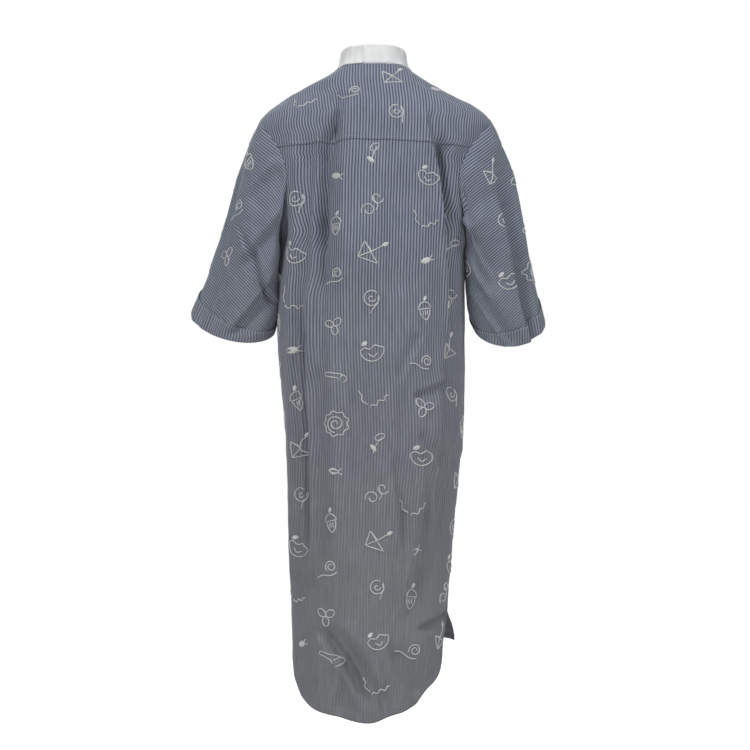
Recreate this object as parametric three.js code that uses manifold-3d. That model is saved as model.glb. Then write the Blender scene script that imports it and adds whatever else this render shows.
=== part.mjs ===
// A long, loose gown with a white stand collar, a buttoned neck placket, half sleeves with turned-back cuffs
// and side vents, as it hangs from a wearer's shoulders. Every cut panel is a closed shell of cloth.
// Units are millimetres. +X is the wearer's left, +Y is the back, +Z is up.
// The origin is the centre of the neck seam, level with the seam at the centre back.
import * as THREE from "three";
import { mergeVertices } from "three/addons/utils/BufferGeometryUtils.js";
import Module from "manifold-3d";

const wasm = await Module();
wasm.setup();

// ---- Cloth and seams ----
const CLOTH = 1.2; // thickness of one modelled layer
const LINING = 0.8; // thickness of the yoke lining and of each collar and placket layer
const SEAM_GAP = 0.3; // clearance between pieces that are sewn face to face
const LAYER_STEP = LINING + SEAM_GAP; // from one collar or placket layer to the next

// ---- Lengths down the body, below the neck seam ----
const SHOULDER_DROP = 113; // to the widest level of the shoulders
const YOKE_DEPTH = 150; // to the back yoke seam
const CHEST_DROP = 300; // to the underarm
const HIP_DROP = 640;
const VENT_DROP = 925; // to the top of the side vents
const FRONT_LENGTH = 1045; // to the hem at the centre front
const FRONT_CORNER_RISE = 40; // from the centre front hem up to its side corners
const BACK_LENGTH = 1140; // to the hem at the centre back
const HEM_ROUNDNESS = 3.6; // of the back hem, where 2 is an ellipse and more is squarer

// ---- Widths and depths from the centre line ----
const NECK = { halfWidth: 66, back: 57, front: 61 };
const NECK_FRONT_DROP = 45; // the neck seam is this much lower at the centre front
const SHOULDER = { halfWidth: 208, back: 116, front: 110 };
const CHEST = { halfWidth: 168, back: 134, front: 139 };
const HIP = { halfWidth: 158, back: 128, front: 134 };
const VENT = { halfWidth: 139, back: 122, front: 124 };
const HEM = { halfWidth: 132, back: 118, front: 118 };

const LAP_GAP = 0.01 * SHOULDER.halfWidth; // clearance where a sleeve's faceted edge is lapped over the body

// ---- Collar and placket ----
const COLLAR_HEIGHT = 34;
const COLLAR_LEAN = 10; // the top edge is this much nearer the neck than the seam
const COLLAR_OVERLAP = 15; // each end passes the centre front by this much
const COLLAR_LAP_STEP = 1.5 * LAYER_STEP + SEAM_GAP; // how far each end is moved in or out to pass the other
const PLACKET_WIDTH = 30;
const PLACKET_LENGTH = 300; // below the neck seam at the centre front
const SLIT_INSET = 2; // the band covers the edges of the slit by this much

// ---- Front yoke line and armholes ----
const FRONT_YOKE_SEAM = 38; // the yoke reaches this far forward of the shoulder line
const ARMHOLE_TOP_RISE = 23; // the armhole starts this far above the widest shoulder level
const ARMHOLE_HALF_DEPTH = 85; // half the front-to-back opening

// ---- Sleeves: the cuff ring of each, by its outer and inner edge, for a sleeve on the +X side ----
const SLEEVES = {
  left: { side: 1, outer: [318, -432], inner: [178, -470], halfDepth: 45, backDroop: 16 },
  right: { side: -1, outer: [298, -452], inner: [176, -462], halfDepth: 50, backDroop: 26 },
};
const SLEEVE_LEAVE_TOP = [0.36, -0.93]; // outward and up: how the sleeve leaves the shoulder tip
const SLEEVE_LEAVE_UNDERARM = [0.45, -0.89]; // and the underarm
const SLEEVE_LEAVE_LENGTH = 85;
const SLEEVE_ARRIVE_LENGTH = 120;
const CUFF_HEIGHT = 32;
const CUFF_LAYERS = 2; // the turned-back cuff is double

// ---- Buttons ----
const BUTTON_RADIUS = 5.75;
const BUTTON_THICKNESS = 2.4;
const BUTTON_STAND = 0.9; // the thread holds the button this far off the cloth
const BUTTON_RIM = 0.5; // how far the rim stands above the sunk middle
const BUTTON_HOLE_RADIUS = 0.8;
const BUTTON_HOLE_OFFSET = 1.5; // from the button's centre lines to each of its four holes
const THREAD_RADIUS = 0.45;
const BUTTONHOLE = { length: 13, width: 2.6 };
const SHANK_RADIUS = 0.9;
const PLACKET_BUTTONS = 4;
const FIRST_BUTTON = 42; // below the neck seam at the centre front
const BUTTON_PITCH = 68;

// ---- Labels and tacks ----
const NECK_LABEL = { width: 46, height: 20, thickness: 0.5, drop: 6 };
const CARE_LABEL = { width: 28, height: 52, thickness: 0.5, drop: 760 };
const SIDE_SEAM_CLEAR = 20; // the care label is sewn this far behind the side seam
const TACK = { length: 11, width: 2.2, thickness: 0.9 };

// ---- Mesh density ----
const BODY_COLUMNS = 34;
const BODY_ROWS = 20;
const COLLAR_COLUMNS = 32;
const SLEEVE_COLUMNS = 24;
const SLEEVE_ROWS = 7; // from the armhole to the top of the cuff
const CUFF_ROWS = 1;

const white = [0.86, 0.86, 0.85];
const stripe = [0.44, 0.49, 0.58];

function material(colour, roughness, metalness = 0) {
  return new THREE.MeshStandardMaterial({ color: new THREE.Color(...colour), roughness, metalness });
}
const stripedCotton = material(stripe, 0.85);
const whiteCotton = material(white, 0.8);
const interfacing = material([0.8, 0.8, 0.78], 0.9);
const buttonShell = material([0.9, 0.9, 0.87], 0.3);
const sewingThread = material([0.82, 0.83, 0.85], 0.7);
const labelTape = material([0.88, 0.88, 0.87], 0.6);

// ---- The draped surface ----
// Horizontal sections from the collar's top edge to the hem. drop is how far the front of a section lies
// below its back, and roundness is the exponent of its superellipse.
const SECTIONS = [
  {
    z: COLLAR_HEIGHT,
    halfWidth: NECK.halfWidth - COLLAR_LEAN,
    back: NECK.back - 0.7 * COLLAR_LEAN,
    front: NECK.front - 0.8 * COLLAR_LEAN,
    drop: 0.85 * NECK_FRONT_DROP,
    roundness: 2,
  },
  { z: 0, ...NECK, drop: NECK_FRONT_DROP, roundness: 2 },
  shoulderSection(0.3, 0.36, 0.6, 2.1),
  shoulderSection(0.53, 0.67, 0.3, 2.2),
  shoulderSection(0.76, 0.91, 0.08, 2.3),
  { z: -SHOULDER_DROP, ...SHOULDER, drop: 0, roundness: 2.4 },
  { z: -0.5 * (SHOULDER_DROP + CHEST_DROP), ...between(SHOULDER, CHEST, 0.55), drop: 0, roundness: 2.4 },
  { z: -CHEST_DROP, ...CHEST, drop: 0, roundness: 2.35 },
  { z: -0.5 * (CHEST_DROP + HIP_DROP), ...between(CHEST, HIP, 0.6), drop: 0, roundness: 2.3 },
  { z: -HIP_DROP, ...HIP, drop: 0, roundness: 2.25 },
  { z: -0.5 * (HIP_DROP + VENT_DROP), ...between(HIP, VENT, 0.65), drop: 0, roundness: 2.2 },
  { z: -VENT_DROP, ...VENT, drop: 0, roundness: 2.15 },
  { z: -BACK_LENGTH, ...HEM, drop: 0, roundness: 2.1 },
];

// A section over the slope of the shoulders, this share of the way down and out from the neck.
function shoulderSection(down, out, frontShare, roundness) {
  const drop = frontShare * NECK_FRONT_DROP;
  return { z: -down * SHOULDER_DROP, ...between(NECK, SHOULDER, out), drop, roundness };
}

// The half width and depths a share of the way from one section to another.
function between(from, to, share) {
  return {
    halfWidth: THREE.MathUtils.lerp(from.halfWidth, to.halfWidth, share),
    back: THREE.MathUtils.lerp(from.back, to.back, share),
    front: THREE.MathUtils.lerp(from.front, to.front, share),
  };
}

// The section at a level, on a smooth curve through the ones above.
function sectionAt(z) {
  const last = SECTIONS.length - 2;
  let i = 0;
  while (i < last && z < SECTIONS[i + 1].z) i += 1;
  const near = [i - 1, i, i + 1, i + 2].map((k) => SECTIONS[THREE.MathUtils.clamp(k, 0, last + 1)]);
  const span = near[1].z - near[2].z;
  const t = THREE.MathUtils.clamp((near[1].z - z) / span, 0, 1);
  const section = {};
  for (const key of ["halfWidth", "back", "front", "drop", "roundness"]) {
    const slopeIn = slope(near[0], near[2], key) * span;
    const slopeOut = slope(near[1], near[3], key) * span;
    section[key] =
      (2 * t ** 3 - 3 * t ** 2 + 1) * near[1][key] +
      (t ** 3 - 2 * t ** 2 + t) * slopeIn +
      (3 * t ** 2 - 2 * t ** 3) * near[2][key] +
      (t ** 3 - t ** 2) * slopeOut;
  }
  return section;
}

function slope(above, below, key) {
  return (below[key] - above[key]) / (above.z - below.z);
}

// A point of the draped surface. turn is 0 at the centre back, a quarter turn at the wearer's left side
// and half a turn at the centre front.
function bodyPoint(turn, z) {
  const s = sectionAt(z);
  const sine = Math.sin(turn);
  const cosine = Math.cos(turn);
  const power = 2 / s.roundness;
  const depth = cosine > 0 ? s.back : s.front;
  const frontness = ((1 - cosine) / 2) ** 2;
  return new THREE.Vector3(
    s.halfWidth * Math.sign(sine) * Math.abs(sine) ** power,
    depth * Math.sign(cosine) * Math.abs(cosine) ** power,
    z - s.drop * frontness,
  );
}

// How far out the side of the body is at a depth and level below the shoulders.
function sideReach(y, z) {
  const s = sectionAt(z);
  const depth = y > 0 ? s.back : s.front;
  return s.halfWidth * (1 - (Math.abs(y) / depth) ** s.roundness) ** (1 / s.roundness);
}

// ---- Closed shells of cloth ----
// pointAt(u, v) is a surface whose u and v run from 0 to 1, and across(u, v) x down(u, v) points outward.
// The shell reaches from the offset inner to the offset outer along that normal.
function clothShell(pointAt, columns, rows, inner, outer, round) {
  const across = round ? columns : columns + 1;
  const step = 1e-3;
  const layers = [outer, inner].map((offset) => {
    const points = [];
    for (let row = 0; row <= rows; row += 1) {
      for (let column = 0; column < across; column += 1) {
        const u = column / columns;
        const v = row / rows;
        const low = Math.max(v - step, 0);
        const high = Math.min(v + step, 1);
        const left = round ? u - step : Math.max(u - step, 0);
        const right = round ? u + step : Math.min(u + step, 1);
        const alongU = pointAt(right, v).sub(pointAt(left, v));
        const alongV = pointAt(u, high).sub(pointAt(u, low));
        const normal = alongU.cross(alongV).normalize();
        points.push(pointAt(u, v).addScaledVector(normal, offset));
      }
    }
    return points;
  });
  const count = layers[0].length;
  const index = (layer, row, column) => layer * count + row * across + (round ? column % columns : column);
  const triangles = [];
  const quad = (a, b, c, d) => triangles.push(a, b, c, a, c, d);
  for (let row = 0; row < rows; row += 1) {
    for (let column = 0; column < columns; column += 1) {
      quad(
        index(0, row, column),
        index(0, row, column + 1),
        index(0, row + 1, column + 1),
        index(0, row + 1, column),
      );
      quad(
        index(1, row, column),
        index(1, row + 1, column),
        index(1, row + 1, column + 1),
        index(1, row, column + 1),
      );
    }
  }
  for (let column = 0; column < columns; column += 1) {
    quad(index(1, 0, column), index(1, 0, column + 1), index(0, 0, column + 1), index(0, 0, column));
    quad(
      index(0, rows, column),
      index(0, rows, column + 1),
      index(1, rows, column + 1),
      index(1, rows, column),
    );
  }
  if (!round) {
    for (let row = 0; row < rows; row += 1) {
      quad(index(0, row, 0), index(0, row + 1, 0), index(1, row + 1, 0), index(1, row, 0));
      quad(
        index(1, row, columns),
        index(1, row + 1, columns),
        index(0, row + 1, columns),
        index(0, row, columns),
      );
    }
  }
  const positions = layers.flat().flatMap((p) => [p.x, p.y, p.z]);
  return new THREE.BufferGeometry()
    .setAttribute("position", new THREE.Float32BufferAttribute(positions, 3))
    .setIndex(triangles);
}

// ---- Booleans ----
function solidOf(geometry) {
  const bare = geometry.clone();
  bare.deleteAttribute("normal");
  bare.deleteAttribute("uv");
  const merged = mergeVertices(bare, 1e-4);
  const vertProperties = new Float32Array(merged.attributes.position.array);
  const triVerts = new Uint32Array(merged.index.array);
  return new wasm.Manifold(new wasm.Mesh({ numProp: 3, vertProperties, triVerts }));
}

function geometryOf(solid) {
  const mesh = solid.getMesh();
  const positions = [];
  for (let i = 0; i < mesh.numVert; i += 1) {
    positions.push(...mesh.vertProperties.subarray(i * mesh.numProp, i * mesh.numProp + 3));
  }
  return new THREE.BufferGeometry()
    .setAttribute("position", new THREE.Float32BufferAttribute(positions, 3))
    .setIndex([...mesh.triVerts]);
}

function box(low, high) {
  const geometry = new THREE.BoxGeometry(high[0] - low[0], high[1] - low[1], high[2] - low[2]);
  geometry.translate((low[0] + high[0]) / 2, (low[1] + high[1]) / 2, (low[2] + high[2]) / 2);
  return solidOf(geometry);
}

// An outline drawn in the X and Z directions, cut right through from front to back.
function throughDepth(shape, from, to) {
  const depth = to - from;
  const geometry = new THREE.ExtrudeGeometry(shape, { depth, bevelEnabled: false, curveSegments: 18 });
  const xAxis = new THREE.Vector3(1, 0, 0);
  const yAxis = new THREE.Vector3(0, 0, 1);
  const zAxis = new THREE.Vector3(0, -1, 0);
  geometry.applyMatrix4(new THREE.Matrix4().makeBasis(xAxis, yAxis, zAxis));
  geometry.translate(0, to, 0);
  return solidOf(geometry);
}

// ---- The places that the seams share ----
const FAR = 2000; // past everything
const armholeTop = -SHOULDER_DROP + ARMHOLE_TOP_RISE;
const armholeCentre = (armholeTop - CHEST_DROP) / 2;
const armholeHalfHeight = (armholeTop + CHEST_DROP) / 2;

// The body from neck to hem as one round shell, at the given offsets from the draped surface.
// Its rows are close together over the shoulders and wider apart below.
function bodyShell(inner, outer) {
  const length = BACK_LENGTH + 5;
  const pointAt = (u, v) => bodyPoint(2 * Math.PI * u, -length * THREE.MathUtils.lerp(v ** 2, v, 0.25));
  return solidOf(clothShell(pointAt, BODY_COLUMNS, BODY_ROWS, inner, outer, true));
}

// A through-cut the size of the armholes. margin makes it larger.
function armholeCut(margin) {
  const shape = new THREE.Shape();
  const high = armholeHalfHeight + margin;
  shape.absellipse(0, armholeCentre, ARMHOLE_HALF_DEPTH + margin, high, 0, 2 * Math.PI, false);
  const geometry = new THREE.ExtrudeGeometry(shape, { depth: FAR, bevelEnabled: false, curveSegments: 20 });
  const xAxis = new THREE.Vector3(0, 1, 0);
  const yAxis = new THREE.Vector3(0, 0, 1);
  const zAxis = new THREE.Vector3(1, 0, 0);
  geometry.applyMatrix4(new THREE.Matrix4().makeBasis(xAxis, yAxis, zAxis));
  const clearOfNeck = NECK.halfWidth + 20;
  const left = geometry.clone().translate(clearOfNeck, 0, 0);
  const right = geometry.clone().translate(-clearOfNeck - FAR, 0, 0);
  return solidOf(left).add(solidOf(right));
}

const halfGap = SEAM_GAP / 2;
const armholes = armholeCut(halfGap);
const yokeSpace = box([-FAR, -FRONT_YOKE_SEAM + halfGap, -YOKE_DEPTH + halfGap], [FAR, FAR, FAR]);
const yokeAndSeam = box([-FAR, -FRONT_YOKE_SEAM - halfGap, -YOKE_DEPTH - halfGap], [FAR, FAR, FAR]);
const frontSpace = box([-FAR, -FAR, -FAR], [FAR, -halfGap, FAR]);
const backSpace = box([-FAR, halfGap, -FAR], [FAR, FAR, FAR]);
const aboveVent = box([-FAR, -FAR, -VENT_DROP + halfGap], [FAR, FAR, FAR]);
const belowVent = box([-FAR, -FAR, -FAR], [FAR, FAR, -VENT_DROP - halfGap]);

// The back hem drops down the vents, rounds its corners and is lowest at the centre back.
function backHemOutline() {
  const halfWidth = VENT.halfWidth + 2;
  const fall = BACK_LENGTH - VENT_DROP;
  const steps = 28;
  const outline = [];
  for (let i = 0; i <= steps; i += 1) {
    const turn = (Math.PI * i) / steps;
    const across = Math.sign(Math.cos(turn)) * Math.abs(Math.cos(turn)) ** (2 / HEM_ROUNDNESS);
    const down = Math.sin(turn) ** (2 / HEM_ROUNDNESS);
    outline.push(new THREE.Vector2(-halfWidth * across, -VENT_DROP - fall * down));
  }
  outline.push(new THREE.Vector2(halfWidth, 0), new THREE.Vector2(-halfWidth, 0));
  return throughDepth(new THREE.Shape(outline), -FAR, FAR);
}

// The front hem is shorter, nearly level, with a corner at each vent.
function frontHemOutline() {
  const halfWidth = VENT.halfWidth + 2;
  const corner = -FRONT_LENGTH + FRONT_CORNER_RISE;
  const shape = new THREE.Shape();
  shape.moveTo(-halfWidth, -VENT_DROP + 1);
  shape.lineTo(-halfWidth, corner);
  shape.quadraticCurveTo(-0.5 * halfWidth, -FRONT_LENGTH, 0, -FRONT_LENGTH);
  shape.quadraticCurveTo(0.5 * halfWidth, -FRONT_LENGTH, halfWidth, corner);
  shape.lineTo(halfWidth, -VENT_DROP + 1);
  shape.closePath();
  return throughDepth(shape, -FAR, FAR);
}

const gown = new THREE.Group();

function addPiece(name, geometry, look) {
  const mesh = new THREE.Mesh(geometry, look);
  mesh.name = name;
  gown.add(mesh);
}

// ---- Body panels ----
function addBodyPanels() {
  const halfCloth = CLOTH / 2;
  const shell = bodyShell(-halfCloth, halfCloth).subtract(armholes);
  const front = shell.intersect(frontSpace).subtract(yokeAndSeam).subtract(placketSlit());
  const back = shell.intersect(backSpace).subtract(yokeAndSeam);
  addPiece("back_yoke", geometryOf(shell.intersect(yokeSpace)), stripedCotton);
  addPiece("back_panel", geometryOf(back.intersect(aboveVent)), stripedCotton);
  addPiece("back_tail", geometryOf(back.intersect(belowVent).intersect(backHemOutline())), stripedCotton);
  addPiece("front_panel", geometryOf(front.intersect(aboveVent)), stripedCotton);
  addPiece("front_tail", geometryOf(front.intersect(belowVent).intersect(frontHemOutline())), stripedCotton);

  const top = -halfCloth - SEAM_GAP;
  const lining = bodyShell(top - LINING, top).subtract(armholes).intersect(yokeSpace);
  addPiece("yoke_lining", geometryOf(lining), stripedCotton);
}

function placketSlit() {
  const half = PLACKET_WIDTH / 2 - SLIT_INSET;
  const bottom = -NECK_FRONT_DROP - PLACKET_LENGTH + SLIT_INSET;
  return box([-half, -FAR, bottom], [half, -FRONT_YOKE_SEAM, FAR]);
}

// ---- Collar: three layers of one band, whose ends overlap at the centre front ----
function addCollar() {
  const bottom = CLOTH + SEAM_GAP;
  const sweep = Math.PI + COLLAR_OVERLAP / NECK.front;
  const pointAt = (u, v) => {
    const turn = THREE.MathUtils.lerp(-sweep, sweep, u);
    const ease = THREE.MathUtils.smoothstep(Math.abs(turn), 0.72 * Math.PI, 2 * Math.PI - sweep);
    const point = bodyPoint(turn, THREE.MathUtils.lerp(COLLAR_HEIGHT, bottom, v));
    const outward = new THREE.Vector3(Math.sin(turn), Math.cos(turn), 0);
    return point.addScaledVector(outward, -Math.sign(turn) * COLLAR_LAP_STEP * ease);
  };
  const layers = [
    ["collar_inner", -1, whiteCotton],
    ["collar_interfacing", 0, interfacing],
    ["collar_outer", 1, whiteCotton],
  ];
  for (const [name, place, look] of layers) {
    const middle = place * LAYER_STEP;
    const geometry = clothShell(pointAt, COLLAR_COLUMNS, 2, middle - LINING / 2, middle + LINING / 2, false);
    const hole = buttonholeAt(collarButton(), 2 * LAYER_STEP + BUTTON_STAND);
    addPiece(name, place < 0 ? geometry : geometryOf(solidOf(geometry).subtract(hole)), look);
  }
}

// ---- Placket: an under band, an interfacing in the slit and an over band with the buttonholes ----
// A strip of the body shell at the centre front, this wide and down to this level.
function frontStrip(halfWidth, bottom, inner, outer) {
  const top = -NECK_FRONT_DROP - SEAM_GAP;
  return bodyShell(inner, outer).intersect(box([-halfWidth, -FAR, bottom], [halfWidth, 0, top]));
}

function addPlacket() {
  const bottom = -NECK_FRONT_DROP - PLACKET_LENGTH;
  const half = PLACKET_WIDTH / 2;
  const over = CLOTH / 2 + SEAM_GAP;
  const buttonholes = placketButtons().map((place) => buttonholeAt(place, 6));
  const cut = (strip) => geometryOf(buttonholes.reduce((solid, hole) => solid.subtract(hole), strip));
  const slitHalf = half - SLIT_INSET - SEAM_GAP;
  const middle = frontStrip(slitHalf, bottom + SLIT_INSET + SEAM_GAP, -LINING / 2, LINING / 2);
  addPiece("placket_over_band", cut(frontStrip(half, bottom, over, over + LINING)), stripedCotton);
  addPiece("placket_interfacing", cut(middle), interfacing);
  addPiece("placket_under_band", geometryOf(frontStrip(half, bottom, -over - LINING, -over)), stripedCotton);
}

// ---- Places of the buttons: a point on the cloth that the button rests on, and the way it faces ----
function frontPlace(z, offset) {
  const step = 1;
  const here = bodyPoint(Math.PI, z);
  const down = bodyPoint(Math.PI, z - step).sub(bodyPoint(Math.PI, z + step));
  const facing = new THREE.Vector3(-1, 0, 0).cross(down).normalize();
  return { point: here.addScaledVector(facing, offset), facing };
}

function placketButtons() {
  const rest = CLOTH / 2 + SEAM_GAP + LINING + BUTTON_STAND;
  const places = [];
  for (let i = 0; i < PLACKET_BUTTONS; i += 1) {
    places.push({ ...frontPlace(-FIRST_BUTTON - i * BUTTON_PITCH, rest), depth: rest + CLOTH / 4 });
  }
  return places;
}

function collarButton() {
  const rest = COLLAR_LAP_STEP + LAYER_STEP + LINING / 2 + BUTTON_STAND;
  const depth = rest - COLLAR_LAP_STEP + LAYER_STEP / 2; // through the over end only
  return { ...frontPlace(COLLAR_HEIGHT / 2, rest), depth };
}

// A frame whose Z points the way the button faces, and whose Y is up the cloth.
function placed(geometry, place) {
  const across = new THREE.Vector3(0, 0, 1).cross(place.facing).normalize();
  const up = place.facing.clone().cross(across);
  geometry.applyMatrix4(new THREE.Matrix4().makeBasis(across, up, place.facing));
  return geometry.translate(place.point.x, place.point.y, place.point.z);
}

function slotShape(length, width) {
  const r = width / 2;
  const straight = length / 2 - r;
  const shape = new THREE.Shape();
  shape.absarc(0, straight, r, 0, Math.PI, false);
  shape.absarc(0, -straight, r, Math.PI, 2 * Math.PI, false);
  shape.closePath();
  return shape;
}

// The cutter of one buttonhole, this deep below the button.
function buttonholeAt(place, depth) {
  const shape = slotShape(BUTTONHOLE.length, BUTTONHOLE.width);
  const above = 1;
  const geometry = new THREE.ExtrudeGeometry(shape, {
    depth: depth + above,
    bevelEnabled: false,
    curveSegments: 4,
  });
  return solidOf(placed(geometry.translate(0, 0, -depth), place));
}

function buttonSolid() {
  const sunk = BUTTON_THICKNESS - BUTTON_RIM;
  const profile = [
    [0, 0],
    [BUTTON_RADIUS - 0.8, 0],
    [BUTTON_RADIUS, 0.8],
    [BUTTON_RADIUS, BUTTON_THICKNESS - 0.6],
    [BUTTON_RADIUS - 0.5, BUTTON_THICKNESS],
    [BUTTON_RADIUS - 1.5, BUTTON_THICKNESS],
    [BUTTON_RADIUS - 2.2, sunk],
    [0, sunk],
  ].map(([x, y]) => new THREE.Vector2(x, y));
  const geometry = new THREE.LatheGeometry(profile, 14);
  geometry.rotateX(Math.PI / 2);
  let solid = solidOf(geometry);
  for (const [x, y] of buttonHoles()) {
    const hole = new THREE.CylinderGeometry(BUTTON_HOLE_RADIUS, BUTTON_HOLE_RADIUS, 10, 6);
    hole.rotateX(Math.PI / 2);
    hole.translate(x, y, 0);
    solid = solid.subtract(solidOf(hole));
  }
  return geometryOf(solid);
}

function buttonHoles() {
  const d = BUTTON_HOLE_OFFSET;
  return [
    [d, d],
    [-d, d],
    [-d, -d],
    [d, -d],
  ];
}

// The sewing of one button: a shank under it, four legs through its holes and two bars across its middle.
function threadSolid(depth) {
  const sunk = BUTTON_THICKNESS - BUTTON_RIM;
  const barHeight = sunk + SEAM_GAP + THREAD_RADIUS;
  const under = -SEAM_GAP;
  const length = depth + under;
  const shank = new THREE.CylinderGeometry(SHANK_RADIUS, SHANK_RADIUS, length, 6);
  shank.rotateX(Math.PI / 2);
  shank.translate(0, 0, under - length / 2);
  const reach = 2 * (BUTTON_HOLE_OFFSET + THREAD_RADIUS);
  const foot = new THREE.BoxGeometry(reach, reach, 0.2);
  foot.translate(0, 0, under);
  let solid = solidOf(shank).add(solidOf(foot));
  for (const [x, y] of buttonHoles()) {
    const leg = new THREE.CylinderGeometry(THREAD_RADIUS, THREAD_RADIUS, barHeight - under, 5);
    leg.rotateX(Math.PI / 2);
    leg.translate(x, y, (barHeight + under) / 2);
    solid = solid.add(solidOf(leg));
  }
  for (const y of [BUTTON_HOLE_OFFSET, -BUTTON_HOLE_OFFSET]) {
    const bar = new THREE.CylinderGeometry(THREAD_RADIUS, THREAD_RADIUS, reach, 5);
    bar.rotateZ(Math.PI / 2);
    bar.translate(0, y, barHeight);
    solid = solid.add(solidOf(bar));
  }
  return geometryOf(solid);
}

function addButtons() {
  const places = [collarButton(), ...placketButtons()];
  places.forEach((place, i) => {
    addPiece("button_" + (i + 1), placed(buttonSolid(), place), buttonShell);
    addPiece("button_thread_" + (i + 1), placed(threadSolid(place.depth), place), sewingThread);
  });
}

// ---- Sleeves and cuffs ----
// The sleeve's surface: around from the shoulder tip by the front, and down from the armhole to the cuff.
function sleevePoint(sleeve, u, v) {
  const { side, outer, inner, halfDepth, backDroop } = sleeve;
  const angle = 2 * Math.PI * u;
  const low = (1 - Math.cos(angle)) / 2;
  const y = -side * ARMHOLE_HALF_DEPTH * Math.sin(angle);
  const z = armholeCentre + armholeHalfHeight * Math.cos(angle);
  const lift = CLOTH + LAP_GAP; // the sleeve's edge is lapped on the outside of the body
  const start = new THREE.Vector3(sideReach(y, z) + lift, y, z);
  const leave = new THREE.Vector3(
    THREE.MathUtils.lerp(SLEEVE_LEAVE_TOP[0], SLEEVE_LEAVE_UNDERARM[0], low),
    (0.25 * y) / ARMHOLE_HALF_DEPTH,
    THREE.MathUtils.lerp(SLEEVE_LEAVE_TOP[1], SLEEVE_LEAVE_UNDERARM[1], low),
  ).normalize();
  const centre = [(outer[0] + inner[0]) / 2, (outer[1] + inner[1]) / 2];
  const half = [(outer[0] - inner[0]) / 2, (outer[1] - inner[1]) / 2];
  const acrossY = -side * halfDepth * Math.sin(angle);
  const end = new THREE.Vector3(
    centre[0] + half[0] * Math.cos(angle),
    acrossY,
    centre[1] + half[1] * Math.cos(angle) - (backDroop * acrossY) / halfDepth,
  );
  const arrive = new THREE.Vector3(-half[1], 0, half[0]).normalize().multiplyScalar(SLEEVE_ARRIVE_LENGTH);
  const bend = start.clone().addScaledVector(leave, SLEEVE_LEAVE_LENGTH);
  const curve = new THREE.CubicBezierCurve3(start, bend, end.clone().add(arrive), end);
  const point = curve.getPoint(v);
  point.x *= side;
  return point;
}

function addSleeve(name, sleeve) {
  const halfCloth = CLOTH / 2;
  const cuffTop = 1 - CUFF_HEIGHT / sleeveLength(sleeve);
  const rows = SLEEVE_ROWS + CUFF_ROWS;
  const bend = SLEEVE_ROWS / rows; // the cuff's rows are the last ones of the sleeve's
  const sleeveAt = (u, v) => {
    const down = v < bend ? (v / bend) * cuffTop : THREE.MathUtils.mapLinear(v, bend, 1, cuffTop, 1);
    return sleevePoint(sleeve, u, down);
  };
  const cuffAt = (u, v) => sleevePoint(sleeve, u, THREE.MathUtils.lerp(cuffTop, 1, v));
  const tube = clothShell(sleeveAt, SLEEVE_COLUMNS, rows, -halfCloth, halfCloth, true);
  addPiece(name + "_sleeve", tube, stripedCotton);

  const inner = halfCloth + SEAM_GAP;
  const outer = inner + CUFF_LAYERS * CLOTH;
  addPiece(name + "_cuff", clothShell(cuffAt, SLEEVE_COLUMNS, CUFF_ROWS, inner, outer, true), stripedCotton);

  // The tack holds the cuff up, on the sleeve's outer line.
  const tackTurn = TACK.width / (4 * Math.PI * sleeve.halfDepth);
  const tackTop = 0.2;
  const tackShare = TACK.length / CUFF_HEIGHT;
  const tackAt = (u, v) => cuffAt(THREE.MathUtils.lerp(-tackTurn, tackTurn, u), tackTop + tackShare * v);
  const lift = outer + SEAM_GAP;
  addPiece(name + "_cuff_tack", clothShell(tackAt, 1, 1, lift, lift + TACK.thickness, false), sewingThread);
}

// The length of the sleeve's middle, halfway between shoulder tip and underarm.
function sleeveLength(sleeve) {
  let length = 0;
  for (let i = 0; i < 10; i += 1) {
    length += sleevePoint(sleeve, 0.25, i / 10).distanceTo(sleevePoint(sleeve, 0.25, (i + 1) / 10));
  }
  return length;
}

// ---- Labels inside and bar tacks at the vents ----
function addLabels() {
  const neckInside = -CLOTH / 2 - 2 * SEAM_GAP - LINING;
  const neckTop = -NECK_LABEL.drop;
  const neckTape = bodyShell(neckInside - NECK_LABEL.thickness, neckInside);
  const neckCut = box(
    [-NECK_LABEL.width / 2, 0, neckTop - NECK_LABEL.height],
    [NECK_LABEL.width / 2, FAR, neckTop],
  );
  addPiece("neck_label", geometryOf(neckTape.intersect(neckCut)), labelTape);

  const careInside = -CLOTH / 2 - SEAM_GAP;
  const careTop = -CARE_LABEL.drop;
  const careTape = bodyShell(careInside - CARE_LABEL.thickness, careInside);
  const careCut = box(
    [0, SIDE_SEAM_CLEAR, careTop - CARE_LABEL.height],
    [FAR, SIDE_SEAM_CLEAR + CARE_LABEL.width, careTop],
  );
  addPiece("care_label", geometryOf(careTape.intersect(careCut)), labelTape);
}

function addVentTacks() {
  const lift = CLOTH / 2 + SEAM_GAP;
  const stitched = bodyShell(lift, lift + TACK.thickness);
  const half = TACK.length / 2;
  const bottom = -VENT_DROP + 2;
  for (const [name, side] of [["left", 1], ["right", -1]]) {
    const reach = [0, side * FAR].sort((a, b) => a - b);
    const cut = box([reach[0], -half, bottom], [reach[1], half, bottom + TACK.width]);
    addPiece("vent_tack_" + name, geometryOf(stitched.intersect(cut)), sewingThread);
  }
}

addBodyPanels();
addCollar();
addPlacket();
addButtons();
addSleeve("left", SLEEVES.left);
addSleeve("right", SLEEVES.right);
addLabels();
addVentTacks();

export default gown;
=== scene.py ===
import math

import bmesh
import bpy
import numpy as np
from mathutils import Matrix, Vector, noise
from mathutils.bvhtree import BVHTree


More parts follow.
